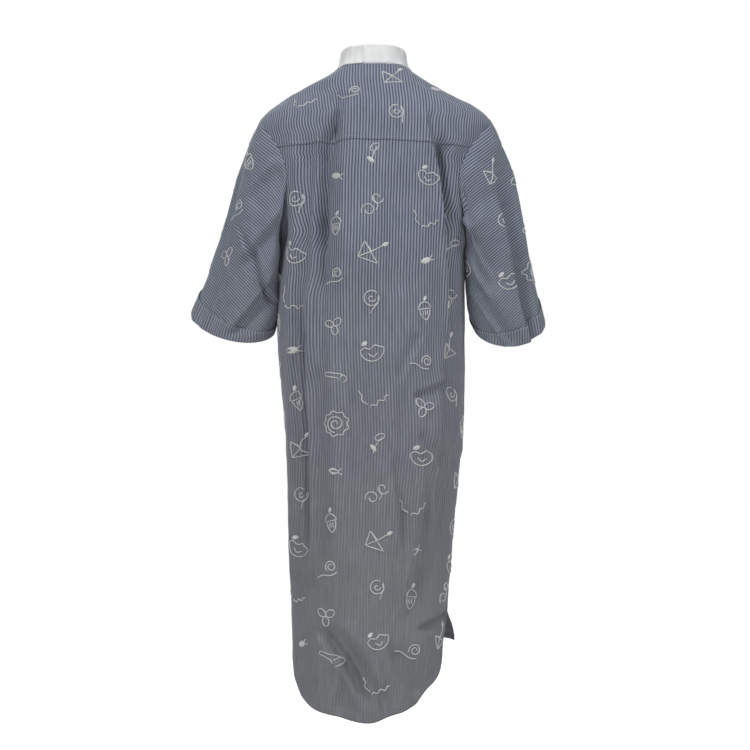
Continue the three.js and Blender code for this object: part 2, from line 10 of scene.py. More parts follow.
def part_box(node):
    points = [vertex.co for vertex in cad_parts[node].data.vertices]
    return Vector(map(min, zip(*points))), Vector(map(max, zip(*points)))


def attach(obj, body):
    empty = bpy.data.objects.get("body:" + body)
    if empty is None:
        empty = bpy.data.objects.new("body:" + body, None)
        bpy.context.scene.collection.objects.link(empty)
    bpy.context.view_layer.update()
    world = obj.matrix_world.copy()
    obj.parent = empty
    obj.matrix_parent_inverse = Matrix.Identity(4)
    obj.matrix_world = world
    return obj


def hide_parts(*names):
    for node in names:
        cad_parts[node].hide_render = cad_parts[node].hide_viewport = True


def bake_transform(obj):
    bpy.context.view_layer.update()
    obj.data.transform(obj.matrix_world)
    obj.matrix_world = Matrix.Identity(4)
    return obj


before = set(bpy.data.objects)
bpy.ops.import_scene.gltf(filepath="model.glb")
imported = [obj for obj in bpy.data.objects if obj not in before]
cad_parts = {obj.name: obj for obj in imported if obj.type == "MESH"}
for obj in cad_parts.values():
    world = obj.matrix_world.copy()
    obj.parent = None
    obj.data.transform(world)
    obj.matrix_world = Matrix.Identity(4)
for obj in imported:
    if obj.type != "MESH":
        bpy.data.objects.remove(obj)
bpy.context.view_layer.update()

bl_info = {
    "name": "Patient gown",
    "version": (1, 0, 0),
    "blender": (4, 5, 0),
    "location": "3D View > Sidebar > Gown",
    "description": "A long striped gown with a stand collar, half sleeves and raised line motifs",
    "category": "Object",
}

MM = 0.001

# ---- Places taken from the frame ----
# The thickness of the solids' cloth.
SOLID_CLOTH = 1.2 * MM
COLLAR_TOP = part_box("collar_outer")[1][2]
YOKE_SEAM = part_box("back_yoke")[0][2]
FRONT_YOKE_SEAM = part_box("back_yoke")[0][1]
VENT_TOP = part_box("back_panel")[0][2]
BACK_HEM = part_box("back_tail")[0][2]
FRONT_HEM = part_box("front_tail")[0][2]
ARMHOLE_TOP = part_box("left_sleeve")[1][2]
ARMHOLE_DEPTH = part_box("left_sleeve")[1][1] - SOLID_CLOTH
UNDERARM = -0.300
ARM_CENTRE, ARM_RISE = (ARMHOLE_TOP + UNDERARM) / 2, (ARMHOLE_TOP - UNDERARM) / 2
PLACKET_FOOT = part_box("placket_over_band")[0][2]
VENT_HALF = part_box("back_tail")[1][0]

# ---- The draped surface, the same as the solids' ----
# Each row: level, half width, depth of the back, depth of the front, fall of the front, roundness
SECTIONS = np.array([
    [0.034, 0.0560, 0.050, 0.053, 0.03825, 2.0],
    [0.0, 0.0680, 0.057, 0.061, 0.045, 2.0],
    [-0.034, 0.1215, 0.078, 0.0786, 0.027, 2.1],
    [-0.060, 0.1635, 0.0965, 0.0938, 0.0135, 2.2],
    [-0.086, 0.197, 0.1107, 0.1056, 0.0036, 2.3],
    [-0.113, 0.208, 0.116, 0.110, 0.0, 2.4],
    [-0.2065, 0.186, 0.1259, 0.126, 0.0, 2.4],
    [-0.300, 0.168, 0.134, 0.139, 0.0, 2.35],
    [-0.470, 0.164, 0.1304, 0.136, 0.0, 2.3],
    [-0.640, 0.157, 0.128, 0.134, 0.0, 2.25],
    [-0.7825, 0.1475, 0.124, 0.1275, 0.0, 2.2],
    [-0.925, 0.139, 0.122, 0.124, 0.0, 2.15],
    [-1.145, 0.130, 0.118, 0.118, 0.0, 2.1],
])
# How far the hanging cloth swings to the wearer's left at a level.
SWAY = (
    (-1.15, 0.007), (-0.93, 0.007), (-0.78, 0.003), (-0.65, -0.002), (-0.50, 0.004), (-0.38, 0.004),
    (-0.29, 0.001), (-0.20, 0.0), (-0.105, -0.004), (-0.07, -0.004), (-0.03, 0.0),
)


def smooth(x):
    t = np.clip(x, 0.0, 1.0)
    return t * t * (3 - 2 * t)


def section(z):
    """The half width, depths, fall and roundness of the surface at each level, on a smooth curve."""
    levels, sizes = SECTIONS[:, 0], SECTIONS[:, 1:]
    last = len(levels) - 1
    i = np.clip(np.searchsorted(-levels, -z, side="right") - 1, 0, last - 1)
    above, below = np.maximum(i - 1, 0), np.minimum(i + 2, last)
    span = (levels[i] - levels[i + 1])[..., None]
    t = np.clip((levels[i] - z)[..., None] / span, 0, 1)
    slope_in = (sizes[i + 1] - sizes[above]) / (levels[above] - levels[i + 1])[..., None] * span
    slope_out = (sizes[below] - sizes[i]) / (levels[i] - levels[below])[..., None] * span
    return (
        (2 * t**3 - 3 * t**2 + 1) * sizes[i]
        + (t**3 - 2 * t**2 + t) * slope_in
        + (3 * t**2 - 2 * t**3) * sizes[i + 1]
        + (t**3 - t**2) * slope_out
    )


def sway(z):
    return np.interp(z, [s[0] for s in SWAY], [s[1] for s in SWAY])


def drape(turn, z):
    """Points of the smooth surface. turn is 0 at the centre back and grows towards the wearer's left."""
    turn, z = np.broadcast_arrays(np.asarray(turn, float), np.asarray(z, float))
    half, back, front, fall, roundness = np.moveaxis(section(z), -1, 0)
    power = 2 / roundness
    sine, cosine = np.sin(turn), np.cos(turn)
    depth = np.where(cosine > 0, back, front)
    return np.stack(
        [
            half * np.sign(sine) * np.abs(sine) ** power + sway(z),
            depth * np.sign(cosine) * np.abs(cosine) ** power,
            z - fall * ((1 - cosine) / 2) ** 2,
        ],
        -1,
    )


def unit_cross(across, down):
    normal = np.cross(across, down)
    return normal / np.maximum(np.linalg.norm(normal, axis=-1, keepdims=True), 1e-12)


def grid_normals(points):
    return unit_cross(np.gradient(points, axis=1), np.gradient(points, axis=0))


def drape_normals(turn, z):
    """Outward normals of the smooth surface, the same for every layer cut from it."""
    step = 0.004
    across = drape(turn + step, z) - drape(turn - step, z)
    return unit_cross(across, drape(turn, z - step / 4) - drape(turn, z + step / 4))


def from_armhole(points, margin=0.0):
    """How far points lie from the middle of an armhole. 1 is its edge, moved outward by the margin."""
    y = points[..., 1] / (ARMHOLE_DEPTH + margin)
    return np.hypot(y, (points[..., 2] - ARM_CENTRE) / (ARM_RISE + margin))


def turn_at_depth(y, z):
    """The turn, past the wearer's left side, at which the front of a level is this far forward."""
    sizes = section(np.asarray(z, float))
    share = np.clip(np.abs(y) / sizes[..., 2], 0, 1) ** (sizes[..., 4] / 2)
    return math.pi / 2 + np.arcsin(share)


# ---- Folds ----
# Each is a valley along a line, in millimetres: x and z of its top and of its foot, width, depth and bow.
BACK_FOLDS = (
    (50, -36, 78, -150, 9, 9, 3),
    (72, -90, 92, -340, 15, 18, -3),
    (56, -60, 80, -200, 4, 5, 2),
    (80, -190, 92, -420, 5, 5, -2),
    (-114, -135, -134, -330, 4, 6, 2),
    (88, -250, 104, -620, 17, 13, 3),
    (104, -520, 96, -900, 15, 12, 6),
    (-92, -80, -114, -190, 8, 8, 3),
    (-112, -125, -132, -300, 11, 17, 2),
    (-126, -240, -146, -520, 12, 13, 2),
    (-140, -440, -118, -880, 15, 9, -8),
    (112, -120, 118, -420, 26, 17, 2),
    (130, -370, 120, -900, 8, 8, 3),
    (-26, -640, -58, -880, 7, 4, 4),
    (-40, -560, -84, -470, 9, 5, 3),
    (158, -130, 160, -420, 14, 9, 2),
    (140, -300, 134, -640, 13, 9, 3),
    (130, -560, 124, -960, 14, 9, -3),
    (56, -400, 44, -900, 24, 8, 6),
    (16, -330, 10, -960, 26, 6, -5),
    (-104, -690, -56, -985, 19, 10, 8),
    (-54, -520, -56, -860, 18, 6, -4),
    (-152, -556, -62, -588, 10, 6, -5),
    (-74, -640, -138, -712, 12, 7, -4),
    (100, -972, 6, -1120, 13, 15, 9),
    (70, -975, -26, -1128, 8, 6, 7),
    (40, -1010, 62, -1136, 16, 7, 3),
    (-30, -1000, -92, -1110, 16, 10, -7),
    (-142, -956, -72, -984, 7, 6, 0),
    (-30, -205, -40, -430, 24, 5, 2),
    (30, -160, 34, -330, 15, 4, -2),
    (-60, -18, -165, -82, 14, 3.5, 4),
    (70, -30, 160, -86, 14, 3.5, -4),
)
FRONT_FOLDS = (
    (66, -110, 86, -520, 10, 7, 4),
    (-72, -120, -90, -540, 10, 7, -4),
    (104, -400, 98, -900, 14, 7, 5),
    (-108, -420, -100, -900, 14, 7, -5),
    (34, -420, 44, -1000, 18, 6, 5),
    (-38, -460, -52, -1020, 18, 6, -6),
    (4, -560, -6, -1030, 20, 4, 3),
    (132, -330, 128, -860, 10, 5, -2),
    (-134, -330, -126, -860, 10, 5, 2),
    (80, -900, 20, -1035, 14, 6, 6),
    (-90, -905, -40, -1035, 14, 5, -6),
    (120, -160, 92, -290, 9, 5, -5),
    (-120, -160, -92, -290, 9, 5, 5),
)
# How much steeper a fold is on its side toward the wearer's left.
LEAN = 0.5


def fold_shape(across, ridge):
    """A fold's valley and the ridges beside it, at a distance across it in widths. It is pressed together on
    one side and drawn out on the other."""
    across = across / (1 - LEAN * np.tanh(1.5 * across))
    return ridge * np.exp(-((np.abs(across) - 1.8) ** 2)) - np.exp(-across * across)


def fold_depth(x, z, folds):
    total = np.zeros_like(x)
    for x0, z0, x1, z1, width, depth, bow in folds:
        length = math.hypot(x1 - x0, z1 - z0)
        ux, uz = (x1 - x0) / length, (z1 - z0) / length
        dx, dz = x / MM - x0, z / MM - z0
        along = (dx * ux + dz * uz) / length
        across = (dz * ux - dx * uz + bow * (1 - (2 * along - 1) ** 2)) / width
        ends = smooth(along / 0.22) * smooth((1 - along) / 0.22)
        total += ends * depth * fold_shape(across, 0.42)
    return total * MM


def ripple(points, strength, stretch, seed):
    """Soft uneven waves, longer down the cloth than across it, at each point of a grid."""
    flat = points.reshape(-1, 3)
    shift = Vector((seed * 3.7, seed * 1.3, seed * 2.1))
    scale = Vector((stretch, stretch, stretch / 6))
    waves = [noise.noise(Vector(p) * scale + shift) for p in flat]
    return strength * np.array(waves).reshape(points.shape[:-1])


def body_grid(turn, z, fold_scale):
    """The folded cloth at a grid of turns and levels, and the same grid without its folds."""
    base = drape(turn, z)
    at_back = smooth(base[..., 1] / 0.05 + 0.3)
    at_front = smooth(-base[..., 1] / 0.05 + 0.3)
    push = at_back * fold_depth(base[..., 0], base[..., 2], BACK_FOLDS)
    push += at_front * fold_depth(base[..., 0], base[..., 2], FRONT_FOLDS)
    low = smooth((-0.12 - base[..., 2]) / 0.6)
    push += ripple(base, 5.0 * MM, 16.0, 1) * (0.25 + 0.8 * low)
    push += ripple(base, 2.0 * MM, 44.0, 5) * (0.35 + 0.6 * low)
    push += ripple(base * np.array([1, 1, 4.0]), 0.8 * MM, 60.0, 9)
    neck = smooth(-base[..., 2] / 0.05)
    near_arm = smooth((from_armhole(base) - 1.02) / 0.2) + smooth((0.13 - np.abs(base[..., 0])) / 0.02)
    beside_sleeve = 1 - 0.75 * smooth(1 - np.abs(base[..., 2] + 0.39) / 0.11) * smooth(
        (np.abs(base[..., 0]) - 0.135) / 0.02
    )
    held = neck * np.clip(near_arm, 0.06, 1) * beside_sleeve * fold_scale
    return base + drape_normals(turn, z) * (push * held)[..., None], base


# ---- Sleeves ----
# Per side: the sign of x, the outer and inner end of the cuff's lower ring, its half depth, how far its
# back droops, how the cloth leaves the shoulder and the underarm, how it arrives at the outer and inner
# cuff, and the seeds of its coarse and fine ripples.
SLEEVES = {
    "left": dict(
        side=1, outer=(0.321, -0.434), inner=(0.175, -0.464), half_depth=0.047, droop=0.034,
        leave=((0.038, -0.052), (0.0, -0.050)), arrive=((-0.055, 0.112), (-0.010, 0.050)),
        seeds=(11, 21),
    ),
    "right": dict(
        side=-1, outer=(0.301, -0.450), inner=(0.178, -0.452), half_depth=0.050, droop=0.042,
        leave=((0.040, -0.045), (0.0, -0.050)), arrive=((-0.030, 0.116), (-0.016, 0.046)),
        seeds=(14, 24),
    ),
}
# How clear a sleeve hangs of the side of the body.
REST_GAP = 0.0024
CUFF_HEIGHT = 0.033
SLEEVE_GIRTH = 0.44
SLEEVE_COLUMNS, SLEEVE_ROWS = 161, 110
# From the shoulder line half way round a sleeve, as its folds are measured.
FOLD_HALF_GIRTH = 0.21
# From one layer of cloth to the next one sewn to it.
LAYER = 1.3 * MM
# Valleys on a sleeve: the share of the way round from the shoulder line to the underarm and the share of the
# way down, at its top and again at its foot, then its width and depth in millimetres.
SLEEVE_FOLDS = {
    "left": (
        (0.46, 0.04, 0.30, 0.42, 13, 8),
        (0.66, 0.16, 0.40, 0.66, 13, 8),
        (0.80, 0.42, 0.52, 0.92, 13, 8),
        (0.24, 0.50, 0.86, 0.72, 14, 9),
        (0.10, 0.20, 0.20, 1.00, 16, 5),
        (0.36, 0.60, 0.30, 1.02, 12, 6),
        (-0.30, 0.08, -0.24, 0.85, 14, 7),
        (-0.60, 0.20, -0.48, 1.00, 14, 7),
    ),
    "right": (
        (0.26, 0.16, 0.27, 1.02, 13, 16),
        (0.66, 0.04, 0.50, 0.34, 15, 13),
        (0.60, 0.30, 0.44, 0.64, 12, 9),
        (0.80, 0.14, 0.50, 0.72, 14, 10),
        (0.78, 0.50, 0.46, 1.00, 12, 8),
        (0.04, 0.30, 0.10, 1.00, 14, 4),
        (-0.28, 0.08, -0.22, 0.90, 14, 7),
        (-0.58, 0.15, -0.50, 1.00, 14, 7),
    ),
}


def side_reach(y, z):
    half, back, front, _, roundness = np.moveaxis(section(z), -1, 0)
    depth = np.where(y > 0, back, front)
    return half * np.maximum(1 - (np.abs(y) / depth) ** roundness, 0) ** (1 / roundness)


def sleeve_points(name, share, down):
    """Points of a smooth sleeve. share runs from -1 to 1: the underarm by the front, the shoulder line at 0,
    and back to the underarm by the back. down runs from the armhole to the cuff's lower edge."""
    sleeve = SLEEVES[name]
    angle = math.pi * share
    low = (1 - np.cos(angle)) / 2
    y = ARMHOLE_DEPTH * np.sin(angle)
    z = ARM_CENTRE + ARM_RISE * np.cos(angle)
    start = np.stack([side_reach(y, z) + LAYER + sleeve["side"] * sway(z), y, z], -1)
    outer, inner = sleeve["outer"], sleeve["inner"]
    half = ((outer[0] - inner[0]) / 2, (outer[1] - inner[1]) / 2)
    back = np.sin(angle)
    end = np.stack(
        [
            (outer[0] + inner[0]) / 2 + half[0] * np.cos(angle),
            sleeve["half_depth"] * back,
            (outer[1] + inner[1]) / 2 + half[1] * np.cos(angle) - sleeve["droop"] * back,
        ],
        -1,
    )

    def along(ends):
        """The way and reach of the cloth here, between those at the shoulder line and at the underarm."""
        top, under = ends
        x = top[0] + (under[0] - top[0]) * low
        return np.stack([x, 0 * low, top[1] + (under[1] - top[1]) * low], -1)

    bend, arrive = start + along(sleeve["leave"]), end + along(sleeve["arrive"])
    bend[..., 1] += 0.012 * back
    t = down[..., None]
    points = (1 - t) ** 3 * start + 3 * (1 - t) ** 2 * t * bend + 3 * (1 - t) * t**2 * arrive + t**3 * end
    body_side = side_reach(np.clip(points[..., 1], -0.11, 0.11), points[..., 2]) + sleeve["side"] * sway(z)
    resting = body_side + REST_GAP * smooth(down / 0.15)
    hugging = smooth((np.abs(share) - 0.70) / 0.2) * (1 - smooth((down - 0.66) / 0.34))
    points[..., 0] += (resting - points[..., 0]) * hugging * (down > 0)
    points[..., 0] = np.where(down > 0, np.maximum(points[..., 0], resting), points[..., 0])
    points[..., 0] *= sleeve["side"]
    return points


def sleeve_grid(name, share, down, fold_scale):
    """The folded sleeve at a grid of shares and lengths."""
    sleeve = SLEEVES[name]
    base = sleeve_points(name, share, down)
    push = np.zeros(base.shape[:2])
    for share0, down0, share1, down1, width, depth in SLEEVE_FOLDS[name]:
        run = (down - down0) / (down1 - down0)
        middle = share0 + (share1 - share0) * run
        across = -sleeve["side"] * (share - middle) * FOLD_HALF_GIRTH / (width * MM)
        reaches_hem = 1.0 if down1 > 0.9 else 0.0
        ends = smooth(run / 0.25) * smooth((1 - run) / 0.15 + reaches_hem)
        push += ends * depth * MM * fold_shape(across, 0.45)
    coarse, fine = sleeve["seeds"]
    push += ripple(base, 3.0 * MM, 18.0, coarse)
    push += ripple(base, 1.0 * MM, 55.0, fine)
    start = smooth(down / 0.12) * (1 - 0.85 * smooth((np.abs(share) - 0.72) / 0.2))
    return base + grid_normals(base) * (push * start * fold_scale)[..., None]


def sleeve_shares(name, downs):
    """A grid of shares round a sleeve and down it, with its columns in the order that faces outward."""
    shares = np.linspace(-1, 1, SLEEVE_COLUMNS) * -SLEEVES[name]["side"]
    return np.meshgrid(shares, downs)


# ---- A piece of cloth as a grid ----
def grid_quads(rows, columns):
    """The faces of a grid of points, as four indices each."""
    index = np.arange(rows * columns).reshape(rows, columns)
    return np.stack([index[:-1, :-1], index[:-1, 1:], index[1:, 1:], index[1:, :-1]], -1).reshape(-1, 4)


class Cloth:
    """A grid of points on a piece of cloth, with lengths on it across from its middle column and down."""

    def __init__(self, points, unfolded=None):
        self.points = points
        self.normals = grid_normals(points)
        self.middle = points.shape[1] // 2
        self.across = self.lengths_across(points)
        self.facing = self.normals
        if unfolded is not None:
            self.across = 0.5 * (self.across + self.lengths_across(unfolded))
            self.facing = grid_normals(unfolded)
        steps = np.linalg.norm(np.diff(points, axis=0), axis=-1)
        self.down = np.vstack([np.zeros((1, points.shape[1])), np.cumsum(steps, axis=0)])
        self.tree = None

    def lengths_across(self, points):
        steps = np.linalg.norm(np.diff(points, axis=1), axis=-1)
        run = np.hstack([np.zeros((len(points), 1)), np.cumsum(steps, axis=1)])
        return run - run[:, self.middle : self.middle + 1]

    def pattern(self):
        """Pattern coordinates with the stripes running down the cloth."""
        return np.stack([self.across, -self.down], -1)

    def raised(self, rows, columns, lift):
        """(point, normal) along part of the grid, lifted off the cloth."""
        points, normals = self.points[rows, columns], self.normals[rows, columns]
        return [(p + n * lift, n) for p, n in zip(points, normals)]

    def laid(self, across, down, offsets, lean):
        """Points of a flat drawing pressed on to the cloth around a place, upright and then leaned over, or
        None where it would miss the cloth."""
        point, normal = self.at(across, down, self.facing)
        if self.tree is None:
            quads = grid_quads(*self.points.shape[:2]).tolist()
            self.tree = BVHTree.FromPolygons(self.points.reshape(-1, 3).tolist(), quads)
        facing = Vector(normal)
        right = Vector((0, 0, 1)).cross(facing).normalized()
        up = facing.cross(right)
        out = []
        for x, y in moved(offsets, 0, 0, lean):
            spot = Vector(point) + right * (x * MM) + up * (y * MM)
            hit, face_normal, _, _ = self.tree.ray_cast(spot + facing * 0.03, -facing, 0.06)
            if hit is None:
                return None
            out.append((np.array(hit), np.array(face_normal)))
        return out

    def patch(self, across, down, lifts):
        """A grid of points over the cloth, at lengths across and down it, with each row lifted off it."""
        rows = [[self.at(a, d) for a in across] for d in down]
        return np.array([[p + n * lift for p, n in row] for row, lift in zip(rows, lifts)])

    def at(self, across, down, ways=None):
        """The point and outward normal at a length across and a length down."""
        ways = self.normals if ways is None else ways
        rows, columns = self.points.shape[:2]
        column, row = float(self.middle), 0.0
        for _ in range(3):
            near = int(round(column))
            row = np.interp(down, self.down[:, near], np.arange(rows))
            column = np.interp(across, self.across[int(round(row))], np.arange(columns))
        i, j = min(int(row), rows - 2), min(int(column), columns - 2)
        a, b = row - i, column - j
        weights = ((1 - a) * (1 - b), (1 - a) * b, a * (1 - b), a * b)
        corners = ((i, j), (i, j + 1), (i + 1, j), (i + 1, j + 1))
        point = sum(w * self.points[c] for w, c in zip(weights, corners))
        normal = sum(w * ways[c] for w, c in zip(weights, corners))
        return point, normal / np.linalg.norm(normal)


# ---- Making objects ----
def settings():
    return bpy.context.scene.gown


def new_object(name, verts, faces, material, uvs=None):
    """An object from points and faces, with pattern coordinates per face corner."""
    mesh = bpy.data.meshes.new(name)
    mesh.from_pydata([tuple(v) for v in verts], [], faces)
    if uvs is not None:
        layer = mesh.uv_layers.new(name="Pattern")
        layer.data.foreach_set("uv", np.asarray(uvs, float).ravel())
    mesh.update()
    piece = bpy.data.objects.new(name, mesh)
    bpy.context.collection.objects.link(piece)
    piece.data.materials.append(material)
    for polygon in mesh.polygons:
        polygon.use_smooth = True
    return piece


def select_only(piece):
    bpy.ops.object.select_all(action="DESELECT")
    piece.select_set(True)
    bpy.context.view_layer.objects.active = piece


def apply_modifiers(piece):
    select_only(piece)
    for modifier in list(piece.modifiers):
        bpy.ops.object.modifier_apply(modifier=modifier.name)


def hand_over(piece, nodes, body=None):
    """Hides the solids a piece stands for and, where it doesn't bend, hangs it from its body."""
    if nodes:
        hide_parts(*nodes)
    if body:
        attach(piece, body)
    return piece


def bevel_edges(piece, width, segments, degrees):
    bevel = piece.modifiers.new("soft edge", "BEVEL")
    bevel.width = width
    bevel.segments = segments
    bevel.limit_method = "ANGLE"
    bevel.angle_limit = math.radians(degrees)
    apply_modifiers(piece)


def sheet_piece(name, points, pattern, material, thickness, cut=None, joined=False):
    """A closed piece of cloth from a grid of points. cut marks the points that are cut away, and joined sews
    the first column to the last."""
    quads = grid_quads(*points.shape[:2])
    if cut is not None:
        quads = quads[~cut.ravel()[quads].any(axis=1)]
    flat_pattern = pattern.reshape(-1, 2)
    piece = new_object(name, points.reshape(-1, 3), quads.tolist(), material, flat_pattern[quads.ravel()])
    work = bmesh.new()
    work.from_mesh(piece.data)
    loose = [v for v in work.verts if not v.link_faces]
    bmesh.ops.delete(work, geom=loose, context="VERTS")
    if joined:
        bmesh.ops.remove_doubles(work, verts=work.verts, dist=1e-6)
    work.to_mesh(piece.data)
    work.free()
    solid = piece.modifiers.new("thickness", "SOLIDIFY")
    solid.thickness = thickness
    solid.offset = -1.0
    apply_modifiers(piece)
    return piece


def bead_mesh(strokes, width, height):
    """Half-round threads laid along strokes, each a list of (point, normal)."""
    verts, faces = [], []
    profile = [(math.cos(a), math.sin(a)) for a in (0.0, math.pi / 3, 2 * math.pi / 3, math.pi)]
    for stroke in strokes:
        points = np.array([p for p, _ in stroke])
        normals = np.array([n for _, n in stroke])
        tangents = np.gradient(points, axis=0)
        tangents /= np.maximum(np.linalg.norm(tangents, axis=1, keepdims=True), 1e-9)
        sides = np.cross(tangents, normals)
        first = len(verts)
        for k, (point, normal, side) in enumerate(zip(points, normals, sides)):
            taper = 0.55 if k in (0, len(points) - 1) else 1.0
            for c, s in profile:
                out = normal * (s * height * taper - 0.1 * MM)
                verts.append(point + side * (c * width / 2 * taper) + out)
        for k in range(len(points) - 1):
            here, there = first + 4 * k, first + 4 * (k + 1)
            for j in range(4):
                nxt = (j + 1) % 4
                faces.append((here + j, there + j, there + nxt, here + nxt))
        end = first + 4 * (len(points) - 1)
        faces.append((first, first + 1, first + 2, first + 3))
        faces.append((end + 3, end + 2, end + 1, end))
    return verts, faces


def dome_mesh(outline, height):
    """A low satin-stitched patch inside an outline of (point, normal)."""
    points = np.array([p for p, _ in outline])
    normal = np.mean([n for _, n in outline], axis=0)
    middle = points.mean(axis=0)
    verts, faces = [], []
    count = len(points)
    for shrink, rise in ((1.0, -0.1), (0.93, 0.55), (0.6, 0.95), (0.2, 1.0)):
        for point in points:
            verts.append(middle + (point - middle) * shrink + normal * (rise * height))
    for ring in range(3):
        for k in range(count):
            a, b = ring * count + k, ring * count + (k + 1) % count
            faces.append((a, b, b + count, a + count))
    faces.append(tuple(range(3 * count, 4 * count)))
    faces.append(tuple(reversed(range(count))))
    return verts, faces


def join_parts(parts):
    verts, faces = [], []
    for part_verts, part_faces in parts:
        shift = len(verts)
        verts.extend(part_verts)
        faces.extend(tuple(i + shift for i in face) for face in part_faces)
    return verts, faces


def thread_piece(name, parts, material, nodes=(), body=None):
    """One piece of thread joined from parts, each a list of points and a list of faces."""
    piece = new_object(name, *join_parts(parts), material)
    work = bmesh.new()
    work.from_mesh(piece.data)
    bmesh.ops.recalc_face_normals(work, faces=work.faces)
    work.to_mesh(piece.data)
    work.free()
    return hand_over(piece, nodes, body)


# Of topstitching: from one stitch to the next, and a stitch's length, width and height.
PITCH, STITCH_LENGTH, STITCH_WIDTH, STITCH_HEIGHT = 3.2 * MM, 2.3 * MM, 0.75 * MM, 0.35 * MM


def stitch_parts(path):
    """Short raised stitches along a path of (point, normal)."""
    points = np.array([p for p, _ in path])
    normals = np.array([n for _, n in path])
    run = np.concatenate([[0], np.cumsum(np.linalg.norm(np.diff(points, axis=0), axis=1))])
    parts = []
    for start in np.arange(0.5 * PITCH, run[-1] - STITCH_LENGTH, PITCH):
        places = start + np.array([0.0, STITCH_LENGTH / 2, STITCH_LENGTH])
        a, m, b = np.stack([np.interp(places, run, points[:, k]) for k in range(3)], -1)
        normal = np.array([np.interp(start, run, normals[:, k]) for k in range(3)])
        side = np.cross(b - a, normal)
        side *= STITCH_WIDTH / 2 / max(np.linalg.norm(side), 1e-9)
        up = normal * STITCH_HEIGHT
        low = [a - up * 0.3, m + side - up * 0.3, b - up * 0.3, m - side - up * 0.3]
        verts = low + [m + up + side * 0.35, m + up - side * 0.35]
        faces = [(0, 1, 4), (1, 2, 4), (2, 3, 5), (3, 0, 5), (0, 4, 5), (2, 5, 4), (0, 3, 2, 1)]
        parts.append((verts, faces))
    return parts


# ---- Materials ----
class Look:
    """A new material, with short ways to add the nodes of its look."""

    def __init__(self, name, colour):
        self.material = bpy.data.materials.new(name)
        self.material.use_nodes = True
        self.material.diffuse_color = (*colour, 1)
        self.tree = self.material.node_tree
        self.bsdf = self.tree.nodes["Principled BSDF"]

    def put(self, socket, value):
        """Links an input to another node's output, or sets it to a value."""
        if isinstance(value, bpy.types.NodeSocket):
            self.tree.links.new(value, socket)
        elif socket.type == "RGBA":
            socket.default_value = (*value, 1)
        else:
            socket.default_value = value

    def add(self, kind, inputs=(), **choices):
        """A node of a kind, with its choices, and its inputs by name or number."""
        node = self.tree.nodes.new("ShaderNode" + kind)
        for choice, value in choices.items():
            setattr(node, choice, value)
        for key, value in dict(inputs).items():
            self.put(node.inputs[key], value)
        return node

    def surface(self, inputs):
        for key, value in inputs.items():
            self.put(self.bsdf.inputs[key], value)
        return self.material

    def math(self, operation, *values):
        return self.add("Math", enumerate(values), operation=operation).outputs[0]

    def ramp(self, factor, *stops):
        node = self.add("ValToRGB", {"Fac": factor})
        elements = node.color_ramp.elements
        for element, (place, colour) in zip(elements, (stops[0], stops[-1])):
            element.position = place
            element.color = (*colour, 1)
        for place, colour in stops[1:-1]:
            elements.new(place).color = (*colour, 1)
        return node.outputs["Color"]

    def mix(self, factor, first, second, blend="MIX"):
        node = self.add("Mix", data_type="RGBA", blend_type=blend)
        for socket, value in zip([s for s in node.inputs if s.enabled], (factor, first, second)):
            self.put(socket, value)
        return [s for s in node.outputs if s.enabled][0]

    def clouds(self, vector, scale, detail):
        return self.add("TexNoise", {"Vector": vector, "Scale": scale, "Detail": detail}).outputs["Fac"]

    def uneven(self, colour, vector, scale, detail, dark, light):
        """A colour made darker and lighter from place to place."""
        shade = self.ramp(self.clouds(vector, scale, detail), dark, light)
        return self.mix(1.0, colour, shade, "MULTIPLY")

    def place(self):
        return self.add("TexCoord").outputs["Object"]

    def pattern(self):
        """The cloth's pattern coordinates, and the two of them apart."""
        both = self.add("UVMap", uv_map="Pattern").outputs["UV"]
        parts = self.add("SeparateXYZ", {"Vector": both}).outputs
        return both, parts["X"], parts["Y"]

    def bump(self, height, strength, distance):
        inputs = {"Height": height, "Strength": strength, "Distance": distance}
        self.put(self.bsdf.inputs["Normal"], self.add("Bump", inputs).outputs["Normal"])

    def woven_bump(self, u, v, thread, strength, distance):
        """Threads over and under each other, as bump."""
        waves = [self.math("SINE", self.math("MULTIPLY", way, math.pi * (1.0 / thread))) for way in (u, v)]
        self.bump(self.math("MULTIPLY", *waves), strength, distance)


